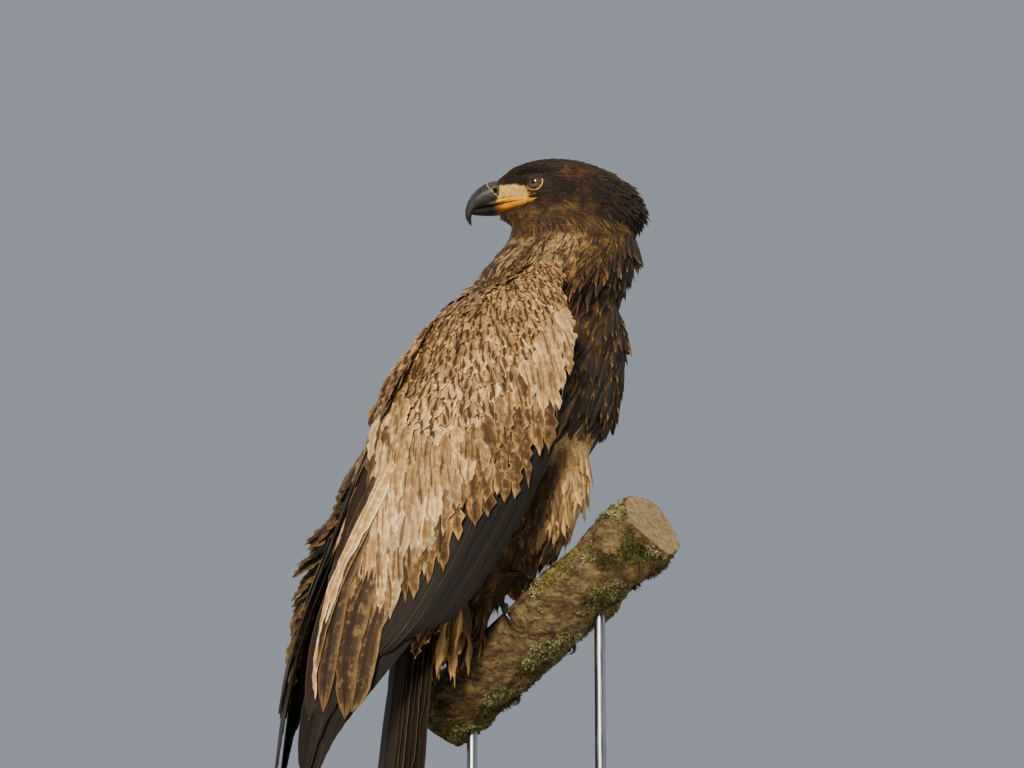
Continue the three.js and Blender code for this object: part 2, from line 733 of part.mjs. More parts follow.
// Stand: a turned disc and two rods that end in the branch
function base() {
  const outline = [
    [0, 0], [BASE_RADIUS - 2, 0], [BASE_RADIUS, 2], [BASE_RADIUS, 9], [BASE_RADIUS - 3, 11], [BASE_RADIUS - 5, 13],
    [BASE_RADIUS - 6, 17], [BASE_RADIUS - 11, BASE_HEIGHT], [0, BASE_HEIGHT],
  ];
  const rings = outline.slice(1, -1).map(([r, z]) => ring(vec(0, 0, z), vec(r, 0, 0), vec(0, r, 0), 40));
  return loft(rings);
}

function rod(w) {
  const top = branchAxis(w);
  const centre = top.clone().sub(vec(STAND_X, STAND_Y, 0));
  const high = top.z + LIFT - BRANCH_RADIUS * 0.4;
  return loft(
    [BASE_HEIGHT + GAP, high].map((z) =>
      ring(vec(centre.x, centre.y, z), vec(ROD_RADIUS, 0, 0), vec(0, ROD_RADIUS, 0), 20),
    ),
  );
}

// Assembly: each piece is cut clear of what it grows from
addNode("torso", torso(), darkPlumage);
const headBlank = joined([skull(), brow(1), brow(-1)]);
const eyes = [1, -1].map((side) => ball(eyeCentre(side), EYE_RADIUS, EYE_RADIUS, EYE_RADIUS, 12));
const eyeRoom = [1, -1].map((side) => ball(eyeCentre(side), EYE_RADIUS + GAP, EYE_RADIUS + GAP, EYE_RADIUS + GAP, 12));
const eyeWindows = [1, -1].map((side) =>
  ball(eyeCentre(side).addScaledVector(leftOfHead, side * 10).addScaledVector(forward, 3), 10.8, 10.8, 10.8, 14),
);
const headRimmed = joined([cutBy(headBlank, eyeWindows), lids(1), lids(-1)]);
const headSolid = cutBy(headRimmed, [...eyeRoom, upperBill(GAP), lowerBill(GAP * 1.6), gapeLip(GAP * 1.6)]);
addNode("head", headSolid, darkPlumage);
addNode("eye_left", eyes[0], eyeBrown);
addNode("eye_right", eyes[1], eyeBrown);
addNode("neck", cutBy(neck(), [torso(GAP), skull(GAP), lowerBill(GAP)]), darkPlumage);
const billUpper = cutBy(joined([upperBill(), gapeLip()]), [lowerBill(GAP), nostril(1), nostril(-1)]);
addNode("bill_upper", billUpper, darkHorn);
addNode("bill_lower", lowerBill(), darkHorn);

for (const [name, side] of [["left", 1], ["right", -1]]) {
  const clear = [torso(GAP), neck(GAP)];
  addNode("wing_" + name, cutBy(wing(side), clear), palePlumage);
  const footSolid = cutBy(foot(side), [thigh(side, GAP), perch(GAP)]);
  addNode("foot_" + name, footSolid, yellowSkin);
  addNode("thigh_" + name, cutBy(thigh(side), [torso(GAP), wing(side), perch(GAP)]), palePlumage);
  TOES.forEach((shape, i) => {
    addNode("claw_" + name + "_" + (i + 1), cutBy(claw(side, shape), [toe(side, shape, GAP), perch(GAP)]), blackHorn);
  });
}

addNode("tail", cutBy(tail(), [torso(GAP)]), flightPlumage);
const boughRoom = perch(GAP).translate([-STAND_X, -STAND_Y, LIFT]);
addNode("perch", perch(), bark);
addNode("stand_base", base(), wood, group);
[-66, 150].forEach((w, i) => addNode("stand_rod_" + (i + 1), cutBy(rod(w), [boughRoom]), steel, group));

export default group;
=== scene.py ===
# A young bald eagle, life size, resting on a cut length of bough that a turned stand holds up
import json
import math

import bmesh
import bpy
import numpy as np
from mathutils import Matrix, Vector, noise
from mathutils.bvhtree import BVHTree

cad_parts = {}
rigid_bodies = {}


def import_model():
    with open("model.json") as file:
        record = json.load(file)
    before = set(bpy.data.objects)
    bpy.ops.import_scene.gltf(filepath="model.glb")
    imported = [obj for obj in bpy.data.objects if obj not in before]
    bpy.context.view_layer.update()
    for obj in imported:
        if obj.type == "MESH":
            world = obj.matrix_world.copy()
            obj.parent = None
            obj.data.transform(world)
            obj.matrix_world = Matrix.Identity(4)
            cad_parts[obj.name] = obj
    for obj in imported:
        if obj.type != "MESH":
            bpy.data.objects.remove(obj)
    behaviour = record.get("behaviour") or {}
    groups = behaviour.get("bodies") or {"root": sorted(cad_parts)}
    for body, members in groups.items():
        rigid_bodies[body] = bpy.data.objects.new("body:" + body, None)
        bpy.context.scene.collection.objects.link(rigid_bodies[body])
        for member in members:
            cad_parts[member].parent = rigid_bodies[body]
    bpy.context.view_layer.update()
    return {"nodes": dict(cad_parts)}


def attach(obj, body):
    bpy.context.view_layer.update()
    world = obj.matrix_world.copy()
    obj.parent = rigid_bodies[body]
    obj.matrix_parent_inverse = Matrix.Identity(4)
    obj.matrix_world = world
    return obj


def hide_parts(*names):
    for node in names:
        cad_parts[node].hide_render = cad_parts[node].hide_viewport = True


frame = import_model()
nodes = frame["nodes"]
bodyPlace = np.array([45.0, 22.0, 552.0])  # the middle of the breast, in millimetres of the frame


def toFrame(points):  # from millimetres about the breast to metres of the frame
    return (np.asarray(points, float) + bodyPlace) / 1000


def toBody(points):
    return np.asarray(points, float) * 1000 - bodyPlace


def unit(v):
    return v / np.maximum(np.linalg.norm(v, axis=-1, keepdims=True), 1e-9)


def ease(low, high, x):  # 0 below low, 1 above high, smooth between
    t = np.clip((np.asarray(x, float) - low) / (high - low), 0, 1)
    return t * t * (3 - 2 * t)


def blend(a, b, t):
    return np.asarray(a, float) + (np.asarray(b, float) - np.asarray(a, float)) * t


def paint(code):  # a colour as it is seen, turned into the light it gives back
    c = np.array([int(code[i : i + 2], 16) for i in (0, 2, 4)]) / 255
    return np.where(c <= 0.04045, c / 12.92, ((c + 0.055) / 1.055) ** 2.4)


def rgba(code):
    return (*paint(code), 1.0)


def profile(pairs):  # a smooth curve through the pairs
    x, y = np.array(pairs, float).T
    n = np.arange(len(x))
    low, high = np.maximum(n - 1, 0), np.minimum(n + 1, len(x) - 1)
    slope = (y[high] - y[low]) / (x[high] - x[low])

    def at(t):
        t = np.clip(t, x[0], x[-1])
        i = np.clip(np.searchsorted(x, t, side="right") - 1, 0, len(x) - 2)
        w = x[i + 1] - x[i]
        u = (t - x[i]) / w
        return (
            (2 * u**3 - 3 * u**2 + 1) * y[i]
            + (u**3 - 2 * u**2 + u) * w * slope[i]
            + (3 * u**2 - 2 * u**3) * y[i + 1]
            + (u**3 - u**2) * w * slope[i + 1]
        )

    return at


def curveThrough(points):  # a smooth curve through points in space, for t from 0 to 1
    p = np.array(points, float)
    p = np.vstack([2 * p[0] - p[1], p, 2 * p[-1] - p[-2]])
    gaps = np.sqrt(np.linalg.norm(np.diff(p, axis=0), axis=1))

    def at(t):
        t = np.clip(np.asarray(t, float), 0, 1) * (len(p) - 3)
        i = np.clip(t.astype(int), 0, len(p) - 4)
        u = (t - i)[..., None]
        a, b, c, d = p[i], p[i + 1], p[i + 2], p[i + 3]
        g0, g1, g2 = (gaps[i + k][..., None] for k in range(3))
        m1 = ((b - a) / g0 - (c - a) / (g0 + g1) + (c - b) / g1) * g1
        m2 = ((c - b) / g1 - (d - b) / (g1 + g2) + (d - c) / g2) * g1
        return b + m1 * u + (-3 * b + 3 * c - 2 * m1 - m2) * u**2 + (2 * b - 2 * c + m1 + m2) * u**3

    return at


def linked(name, data):
    obj = bpy.data.objects.new(name, data)
    bpy.context.scene.collection.objects.link(obj)
    return obj


def meshObject(name, points, faces, material=None, smooth=True):
    mesh = bpy.data.meshes.new(name)
    mesh.from_pydata([tuple(p) for p in points], [], [tuple(int(i) for i in f) for f in faces])
    mesh.validate()
    mesh.polygons.foreach_set("use_smooth", [smooth] * len(mesh.polygons))
    if material:
        mesh.materials.append(material)
    return linked(name, mesh)


def facedOut(obj):  # the object, with its faces turned outwards
    bm = bmesh.new()
    bm.from_mesh(obj.data)
    bmesh.ops.recalc_face_normals(bm, faces=bm.faces)
    bm.to_mesh(obj.data)
    bm.free()
    return obj


def gridFaces(rows, columns):  # the quads of a grid with columns + 1 points in a row
    a = np.arange(rows)[:, None] * (columns + 1) + np.arange(columns)
    return np.stack([a, a + 1, a + columns + 2, a + columns + 1], -1).reshape(-1, 4)


def tubeFaces(rows, sides):  # the quads between closed rings of points
    ring = np.arange(rows)[:, None] * sides
    a, b = ring + np.arange(sides), ring + (np.arange(sides) + 1) % sides
    return np.stack([a, b, b + sides, a + sides], -1).reshape(-1, 4)


def turnedOut(points, faces, outward):  # the faces, all turned round if they look inwards
    flat = points[faces]
    facing = np.cross(flat[:, 1] - flat[:, 0], flat[:, 2] - flat[:, 0])
    return faces[:, ::-1] if np.sum(facing * outward) < 0 else faces


def cutOut(faces):  # the points that the quads use, and the quads in their new numbers
    used, order = np.unique(faces.ravel(), return_inverse=True)
    return used, order.reshape(-1, 4)


def setUv(mesh, name, perCorner):
    layer = mesh.uv_layers.new(name=name, do_init=False)
    layer.data.foreach_set("uv", np.asarray(perCorner, np.float32).ravel())


def setValues(mesh, name, kind, values):
    layer = mesh.attributes.new(name, kind, "POINT")
    field = {"FLOAT": "value", "FLOAT_VECTOR": "vector", "FLOAT_COLOR": "color"}[kind]
    values = np.asarray(values, np.float32)
    if kind == "FLOAT_COLOR":
        values = np.hstack([values, np.ones((len(values), 1), np.float32)])
    layer.data.foreach_set(field, values.ravel())


def repeatedForm(name, points, faces, uv, smooth=False):  # a small form that a tree sets over a surface
    mesh = bpy.data.meshes.new(name)
    mesh.from_pydata(points, [], faces)
    mesh.polygons.foreach_set("use_smooth", [smooth] * len(faces))
    setUv(mesh, "featherUV", [uv[i] for f in faces for i in f])
    return bpy.data.objects.new(name, mesh)


def finishedCopy(obj, name):  # the object with its modifiers made real
    graph = bpy.context.evaluated_depsgraph_get()
    ready = obj.evaluated_get(graph)
    mesh = bpy.data.meshes.new_from_object(ready, preserve_all_data_layers=True, depsgraph=graph)
    mesh.name = name
    made = linked(name, mesh)
    bpy.data.objects.remove(obj)
    return made


def smoothCopy(names, name, voxel, rounds):  # one even skin over copies of the named solids
    bm = bmesh.new()
    for n in names:
        bm.from_mesh(nodes[n].data)
    bmesh.ops.remove_doubles(bm, verts=bm.verts, dist=2e-5)
    mesh = bpy.data.meshes.new(name)
    bm.to_mesh(mesh)
    bm.free()
    obj = linked(name + "Draft", mesh)
    even = obj.modifiers.new("even", "REMESH")
    even.mode = "VOXEL"
    even.voxel_size = voxel
    even.use_smooth_shade = True
    soft = obj.modifiers.new("soft", "SMOOTH")
    soft.factor = 0.5
    soft.iterations = rounds
    return finishedCopy(obj, name)


def readOut(items, field, size=3, kind=np.float32):
    values = np.zeros(len(items) * size, kind)
    items.foreach_get(field, values)
    return values.reshape(-1, size)


def pointsOf(mesh):
    return readOut(mesh.vertices, "co").astype(float)


def normalsOf(mesh):
    return readOut(mesh.vertex_normals, "vector").astype(float)


def movePoints(mesh, points):
    mesh.vertices.foreach_set("co", np.asarray(points, np.float32).ravel())
    mesh.update()


def evenOut(mesh, share, rounds):  # draws each point towards the middle of its neighbours
    a, b = readOut(mesh.edges, "vertices", 2, np.int32).T
    points = pointsOf(mesh)
    n = len(points)
    count = np.bincount(a, minlength=n) + np.bincount(b, minlength=n)
    for _ in range(rounds):
        total = [np.bincount(a, points[b, k], n) + np.bincount(b, points[a, k], n) for k in range(3)]
        points += (np.stack(total, 1) / count[:, None] - points) * (share * 0.6)[:, None]
    movePoints(mesh, points)


def alongSurface(way, normals):  # the way, laid down on the surface
    return unit(way - normals * np.sum(way * normals, 1)[:, None])


def cloud(points, scale, seed=0.0):  # smooth noise, about -1 to 1
    shift = Vector((seed, seed * 1.7, seed * 0.6))
    return np.array([noise.noise(Vector(p) * scale + shift) for p in points])


def settle(piece, slot, *replaced):
    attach(piece, "root")
    if replaced:
        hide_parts(*replaced)
    return piece


def dress(piece, material, slot, *replaced):  # a copy of a solid takes off what the solid wore
    piece.data.materials.clear()
    piece.data.materials.append(material)
    return settle(piece, slot, *replaced)


# Finishes
class Finish:  # a material with short calls for its nodes
    def __init__(self, name, roughness=0.6, **sockets):
        self.material = bpy.data.materials.new(name)
        self.material.use_nodes = True
        self.tree = self.material.node_tree
        self.surface = self.tree.nodes["Principled BSDF"]
        self.surface.inputs["Roughness"].default_value = roughness
        for socket, value in sockets.items():
            self.surface.inputs[socket.replace("_", " ")].default_value = value

    def node(self, kind, inputs=None, **settings):
        made = self.tree.nodes.new("ShaderNode" + kind)
        for key, value in settings.items():
            setattr(made, key, value)
        for key, value in (inputs or {}).items():
            self.feed(made.inputs[key], value)
        return made

    def feed(self, socket, value):
        if isinstance(value, bpy.types.NodeSocket):
            self.tree.links.new(value, socket)
        elif isinstance(value, str):
            socket.default_value = rgba(value)
        else:
            socket.default_value = value

    def math(self, operation, a, b=0.0):
        return self.node("Math", {0: a, 1: b}, operation=operation).outputs[0]

    def times(self, first, *others):
        for other in others:
            first = self.math("MULTIPLY", first, other)
        return first

    def minus(self, a, b):
        return self.math("SUBTRACT", a, b)

    def vector(self, operation, *inputs):
        made = self.node("VectorMath", dict(enumerate(inputs)), operation=operation)
        return made.outputs["Value" if operation in ("DOT_PRODUCT", "LENGTH") else "Vector"]

    def spread(self, value, low, high, toLow=0.0, toHigh=1.0):  # a smooth step from toLow to toHigh
        inputs = {0: value, 1: low, 2: high, 3: toLow, 4: toHigh}
        return self.node("MapRange", inputs, interpolation_type="SMOOTHSTEP").outputs[0]

    def mix(self, share, a, b, way="MIX"):
        made = self.node("Mix", data_type="RGBA", blend_type=way)
        self.feed(made.inputs[0], share)
        self.feed(made.inputs[6], a)
        self.feed(made.inputs[7], b)
        return made.outputs[2]

    def shade(self, colour, light):  # the colour, lighter or darker
        grey = self.node("CombineXYZ", {0: light, 1: light, 2: light}).outputs[0]
        return self.mix(1.0, colour, grey, "MULTIPLY")

    def value(self, name):
        return self.node("Attribute", attribute_name=name).outputs["Fac"]

    def colour(self, name):
        return self.node("Attribute", attribute_name=name).outputs["Color"]

    def place(self, scale=(1, 1, 1), turn=(0, 0, 0), shift=(0, 0, 0)):
        spot = self.node("TexCoord").outputs["Object"]
        inputs = {"Vector": spot, "Scale": scale, "Rotation": turn, "Location": shift}
        return self.node("Mapping", inputs).outputs[0]

    def grain(self, vector, scale, detail=3.0, rough=0.55, warp=0.0):
        inputs = {"Vector": vector, "Scale": scale, "Detail": detail, "Roughness": rough, "Distortion": warp}
        return self.node("TexNoise", inputs).outputs["Fac"]

    def steps(self, share, *stops):
        made = self.node("ValToRGB", {"Fac": share})
        ramp = made.color_ramp
        while len(ramp.elements) < len(stops):
            ramp.elements.new(0.5)
        for element, (spot, code) in zip(ramp.elements, stops):
            element.position = spot
            element.color = rgba(code)
        return made.outputs["Color"]

    def finish(self, colour, height=None, depth=0.001, strength=0.6, roughness=None):
        self.feed(self.surface.inputs["Base Color"], colour)
        if height is not None:
            bump = self.node("Bump", {"Height": height, "Distance": depth, "Strength": strength})
            self.feed(self.surface.inputs["Normal"], bump.outputs[0])
        if roughness is not None:
            self.feed(self.surface.inputs["Roughness"], roughness)
        return self.material


def grainedFinish(name, low, high, scale, steps, roughness, bump, detail=3.0, rough=0.55, **sockets):
    f = Finish(name, roughness, **sockets)
    fine = f.grain(f.place(), scale, detail, rough)
    return f.finish(f.mix(f.spread(fine, *steps), low, high), fine, *bump)


# Camera, floor and light
view = {"target": (0.045, 0.022, 0.552), "azimuth": -32.0, "elevation": -9.8, "distance": 2.7, "lens": 82.54}


def makeCamera():
    a, e = math.radians(view["azimuth"]), math.radians(view["elevation"])
    back = Vector((math.sin(a) * math.cos(e), -math.cos(a) * math.cos(e), math.sin(e)))
    data = bpy.data.cameras.new("camera")
    data.lens = view["lens"]
    data.sensor_width = 36
    data.clip_start = 0.05
    cam = linked("camera", data)
    cam.location = Vector(view["target"]) + back * view["distance"]
    cam.rotation_euler = (-back).to_track_quat("-Z", "Y").to_euler()
    bpy.context.scene.camera = cam


lights = {
    "key": {"from": (-2.5, -2.5, 2.5), "size": 0.8, "power": 225, "colour": (1.0, 0.88, 0.71)},
    "fill": {"from": (2.8, -1.6, 1.2), "size": 2.6, "power": 10, "colour": (0.86, 0.92, 1.0)},
    "rim": {"from": (0.6, 3.0, 2.4), "size": 2.2, "power": 22, "colour": (0.95, 0.97, 1.0)},
}
room = {"world": (0.64, 0.70, 0.80), "strength": 0.46, "floor": "cfccc5", "reach": 9.0, "aim": (0.03, 0.0, 0.45)}


def makeRoom():
    for name, s in lights.items():
        data = bpy.data.lights.new(name, "AREA")
        data.size, data.energy, data.color = s["size"], s["power"], s["colour"]
        lamp = linked(name, data)
        lamp.location = s["from"]
        lamp.rotation_euler = (Vector(room["aim"]) - lamp.location).to_track_quat("-Z", "Y").to_euler()
    world = bpy.data.worlds.new("room")
    world.use_nodes = True
    sky = world.node_tree.nodes["Background"]
    sky.inputs["Color"].default_value = (*room["world"], 1)
    sky.inputs["Strength"].default_value = room["strength"]
    bpy.context.scene.world = world
    f = Finish("floorFinish", 0.85)
    pale = paint(room["floor"])
    shade = f.mix(f.grain(f.place(), 2.0, 2.0, 0.5), (*(pale * 0.96), 1), (*pale, 1))
    angle = np.arange(64) * math.pi / 32
    rim = np.stack([np.cos(angle) * room["reach"], np.sin(angle) * room["reach"], angle * 0 - 0.0004], 1)
    meshObject("floor", rim, [range(64)], f.finish(shade), smooth=False)


makeCamera()
makeRoom()
print("stage: camera, floor and lights")


def featherFinish(name, look):
    f = Finish(name, look["roughness"], Sheen_Weight=look["sheen"], Sheen_Roughness=0.5, Specular_IOR_Level=0.2)
    parts = f.node("SeparateXYZ", {0: f.node("UVMap", uv_map="featherUV").outputs[0]})
    u, v = parts.outputs[0], parts.outputs[1]
    across = f.times(f.math("ABSOLUTE", f.minus(u, 0.5)), 2.0)
    tone = f.value("tone")
    # the barbs run out and up from the shaft
    rise = f.minus(f.times(v, look["barbs"]), f.times(across, look["barbs"] * 0.45))
    spot = f.node("CombineXYZ", {0: f.times(across, 1.6), 1: rise, 2: f.times(tone, 40.0)})
    barbs = f.grain(spot.outputs[0], 1.0, 2.0, 0.6)
    unevenness = f.minus(barbs, 0.5)
    patch = f.grain(f.place(), look["mottle"], 3.0, 0.6)
    # pale edges, stronger on some feathers than on others
    edge = f.math("MAXIMUM", f.times(across, look["side"]), f.math("POWER", v, look["tip"]))
    edge = f.math("ADD", edge, f.times(unevenness, look["ragged"]))
    strong = f.spread(f.math("FRACT", f.times(tone, 7.3)), 0.1, 0.7, look["plain"], 1.0)
    edgeShare = f.times(f.spread(edge, *look["fringe"]), strong)
    # a dark drop along the shaft
    drop = f.times(f.spread(v, *look["drop"], 0.35, 1.0), f.spread(v, 0.9, 1.02, 1.0, 0.25))
    inDrop = f.math("DIVIDE", f.math("ADD", across, f.times(unevenness, 0.3)), f.times(drop, look["shaft"]))
    shaftShare = f.times(f.spread(inDrop, 0.55, 1.1, 1.0, 0.0), f.value("streak"))
    colour = f.mix(edgeShare, f.colour("vane"), f.colour("fringe"))
    colour = f.mix(f.spread(patch, 0.5, 0.68, 0.0, look["patch"]), colour, f.colour("fringe"))
    colour = f.mix(f.spread(patch, 0.5, 0.34, 0.0, look["patch"] * 0.7), colour, f.colour("shaft"))
    colour = f.mix(shaftShare, colour, f.colour("shaft"))
    vary = f.spread(tone, 0.0, 1.0, 1 - look["vary"], 1 + look["vary"])
    colour = f.shade(colour, f.times(vary, f.spread(barbs, 0.3, 0.7, 0.84, 1.1)))
    return f.finish(colour, barbs, 0.0006, 0.5)


bodyLook = {
    "barbs": 26.0, "ragged": 0.4, "side": 0.72, "tip": 2.6, "fringe": (0.52, 0.9), "plain": 0.15,
    "drop": (0.2, 0.7), "shaft": 0.34, "mottle": 55.0, "patch": 0.22, "vary": 0.34,
    "roughness": 0.68, "sheen": 0.08,
}
headLook = dict(bodyLook, barbs=14.0, fringe=(0.5, 0.95), patch=0.06, vary=0.55, shaft=0.3)
covertLook = {
    "barbs": 24.0, "ragged": 0.45, "side": 0.86, "tip": 3.4, "fringe": (0.42, 0.86), "plain": 0.5,
    "drop": (0.35, 0.75), "shaft": 0.38, "mottle": 60.0, "patch": 0.4, "vary": 0.3,
    "roughness": 0.64, "sheen": 0.06,
}
longLook = {
    "barbs": 60.0, "ragged": 0.6, "side": 0.9, "tip": 5.0, "fringe": (0.5, 0.92), "plain": 0.55,
    "drop": (0.1, 0.8), "shaft": 0.28, "mottle": 130.0, "patch": 0.5, "vary": 0.38,
    "roughness": 0.62, "sheen": 0.06,
}
flightLook = {
    "barbs": 110.0, "ragged": 0.16, "side": 0.97, "tip": 18.0, "fringe": (0.88, 0.97), "plain": 0.35,
    "drop": (0.0, 0.1), "shaft": 0.12, "mottle": 90.0, "patch": 0.0, "vary": 0.4,
    "roughness": 0.55, "sheen": 0.04,
}


# The head's own axes
headTurn = math.radians(148)
neckX = 87.0
headForward = np.array([math.cos(headTurn), math.sin(headTurn), 0.0])
headLeft = np.array([-headForward[1], headForward[0], 0.0])


def inHead(f, l, z):
    return np.array([neckX, 0.0, z]) + headForward * f + headLeft * l


def headPlace(b):  # forward, left and height of points about the neck
    rel = b - np.array([neckX, 0, 0])
    return rel @ headForward, rel @ headLeft, b[:, 2]


# The folded wings: s runs from the shoulder to the tip, q from the back edge to the front edge
wingShape = {
    "back": [(-18, 60, 132), (-98, 28, 80), (-178, 13, -48), (-222, 15, -190), (-262, 19, -330), (-288, 25, -500)],
    "front": [(13, 85, 128), (8, 121, 30), (-30, 119, -112), (-125, 94, -268), (-215, 64, -368), (-272, 36, -478)],
    "leftSpread": [-6, -8, -3, 9, 15, 7],
    "nearBulge": [(0, 8), (0.2, 24), (0.4, 28), (0.6, 19), (0.75, 9), (0.87, 3), (1, 0)],
    "farBulge": [(0, 6), (0.2, 15), (0.4, 23), (0.6, 19), (0.75, 9), (0.87, 3), (1, 0)],
}


class WingSheet:
    def __init__(self, side):
        self.side = side
        edges = []
        for key in ("back", "front"):
            loose = wingShape["leftSpread"] if side > 0 else [0] * 6
            spots = [(x - k * 0.6, side * (y + k), z) for (x, y, z), k in zip(wingShape[key], loose)]
            edges.append(curveThrough(spots))
        self.back, self.front = edges
        self.bulge = profile(wingShape["farBulge" if side > 0 else "nearBulge"])

    def flat(self, s, q):
        return blend(self.back(s), self.front(s), np.asarray(q)[..., None])

    def bare(self, s, q):
        s, q = np.broadcast_arrays(np.asarray(s, float), np.asarray(q, float))
        chord = self.front(s) - self.back(s)
        half = np.full_like(s, 0.5)
        along = self.flat(np.minimum(s + 0.02, 1), half) - self.flat(np.maximum(s - 0.02, 0), half)
        outward = unit(np.cross(along, chord) * -self.side)
        return self.flat(s, q) + outward * (self.bulge(s) * 4 * q * (1 - q))[..., None]

    def normal(self, s, q):
        s, q = np.broadcast_arrays(np.asarray(s, float), np.asarray(q, float))
        across = self.bare(s, q + 0.02) - self.bare(s, q - 0.02)
        along = self.bare(np.minimum(s + 0.01, 1), q) - self.bare(np.maximum(s - 0.01, 0), q)
        return unit(np.cross(along, across) * -self.side)

    def point(self, s, q, h=0.0):
        return self.bare(s, q) + self.normal(s, q) * np.asarray(h, float)[..., None]


rightWing = WingSheet(-1)
leftWing = WingSheet(1)

# Colours of the plumage, by place
tints = {
    "crown": ("302217", "64462a", "1b120b"),
    "face": ("211811", "3d2d1b", "140e09"),
    "cheek": ("20170f", "43321d", "140e09"),
    "throat": ("4a3720", "9c7846", "2b1e10"),
    "nape": ("3a2a1a", "d9b67c", "1f150c"),
    # brow: painted shadow that the brow ridge casts over the bare patch and the eye
    "brow": ("120d08", "20170d", "090604"),
    "mantle": ("46341f", "957242", "271c10"),
    "breast": ("33271b", "846739", "1d150c"),
    "belly": ("412f1d", "957343", "281c10"),
    "thigh": ("cda466", "ecc688", "946f40"),
    "shank": ("4a3822", "8f7043", "2a1d10"),
    "lore": ("bb9440", "e0bd6c", "8f6d2c"),
    "lesser": ("987341", "dfb877", "442c13"),
    "median": ("bb9257", "f1d097", "523517"),
    "greater": ("c2985d", "f5dba6", "583817"),
    "white": ("dbb880", "fae6bd", "6b4822"),
    "edge": ("644828", "c9a066", "38250f"),
    "scapular": ("553d24", "a07a48", "2f200f"),
    "mottled": ("a27d4b", "f2daaa", "4e3416"),
    # shade: dark brown laid along the back edge of the coverts as painted shade
    "shade": ("4a3723", "77593a", "2a1c10"),
}


def plumage(shares):  # three colours for each point from the shares of the named tints
    total = sum(shares.values())[:, None]
    return [sum(paint(tints[name][k]) * w[:, None] for name, w in shares.items()) / total for k in range(3)]


# The skin: one surface under the whole coat
skin = {
    "voxel": 0.0028, "smoothing": 5, "neckRounds": 110,
    "body": 8.5, "breast": -2.0, "neck": 5.0, "head": 1.6, "face": 0.5, "thigh": 6.0,
}
spineX = profile([
    (-268, -121), (-226, -108), (-165, -84), (-105, -56), (-40, -24),
    (20, 4), (72, 28), (121, 50), (180, 84), (215, 88),
])
leg = {  # the middle line of the left leg from hip to ankle, with its radii
    "path": [(44, 34, -56), (26, 44, -110), (-2, 46, -165), (-22, 44, -240), (-30, 44, -290)],
    "radii": [30, 40, 38, 32, 26],
}
legX = profile([(z, x) for x, y, z in leg["path"][::-1]])


def skinRegions(b):
    f, l, z = headPlace(b)
    headShare = ease(176, 206, z + 0.12 * f)
    faceShare = ease(8, 55, f) * ease(196, 214, z)
    neckShare = ease(62, 110, z) * (1 - headShare)
    thighShare = np.zeros(len(b))
    for side in (1, -1):
        path, radii = np.array(leg["path"]) * (1, side, 1), leg["radii"]
        best = np.full(len(b), 9.0)
        for k in range(len(path) - 1):
            a, c = path[k], path[k + 1]
            t = np.clip(((b - a) @ (c - a)) / ((c - a) @ (c - a)), 0, 1)
            near = np.linalg.norm((b - (a + t[:, None] * (c - a))) * np.array([0.8, 1, 1]), axis=1)
            best = np.minimum(best, near / (radii[k] + (radii[k + 1] - radii[k]) * t))
        thighShare = np.maximum(thighShare, 1 - ease(1.0, 1.35, best))
    thighShare = thighShare * (1 - ease(-95, -40, z))
    return headShare, faceShare, neckShare, thighShare


def makeSkin():
    solids = ["torso", "neck", "head", "thigh_left", "thigh_right"]
    obj = smoothCopy(solids, "skin", skin["voxel"], skin["smoothing"])
    mesh = obj.data
    points, normals = pointsOf(mesh), normalsOf(mesh)
    b = toBody(points)
    z, past = b[:, 2], b[:, 0] - spineX(b[:, 2])
    head, face, neck, thigh = skinRegions(b)
    breast = ease(15, 45, past) * ease(-80, -20, z) * ease(115, 75, z)
    depth = blend(skin["body"], skin["breast"], breast)
    for key, share in (("neck", neck * (1 - breast)), ("thigh", thigh), ("head", head), ("face", face)):
        depth = blend(depth, skin[key], share)
    movePoints(mesh, points - normals * depth[:, None] / 1000)
    shelf = ease(15, 40, past) * ease(-20, 25, z)
    evenOut(mesh, np.maximum(ease(35, 75, z), shelf) * ease(185, 150, z), skin["neckRounds"])
    return obj


skinObject = makeSkin()
skinMesh = skinObject.data
print("skin:", len(skinMesh.polygons), "faces")
skinPoints, skinNormals = pointsOf(skinMesh), normalsOf(skinMesh)
skinBody = toBody(skinPoints)


def layOfCoat(b, normals):  # the way the feathers point, along the surface
    f, l, z = headPlace(b)
    head, face, neck, thigh = skinRegions(b)
    slope = (spineX(z + 4) - spineX(z - 4)) / 8
    down = unit(np.stack([-slope, np.zeros(len(b)), -np.ones(len(b))], 1))
    under = ease(228, 200, z)  # under the bill the feathers turn down
    back = unit(-headForward[None, :] + np.array([0, 0, -1.0]) * (0.25 + 0.9 * under + 1.6 * ease(-20, -70, f))[:, None])
    flow = blend(down, back, head[:, None])
    flow = blend(flow, unit(np.array([[-0.12, 0, -1.0]])), (thigh * 0.9)[:, None])
    return alongSurface(flow, normals)


def loreShare(f, l, z):  # the bare patch between bill and eye
    top = 243.0 - 0.3 * np.maximum(0, 74 - f)
    rear = 55.0 + 0.35 * (z - 226)
    return ease(rear - 2, rear + 1.5, f) * ease(top + 1.2, top - 1.2, z) * ease(222, 225, z) * ease(8, 11, np.abs(l))


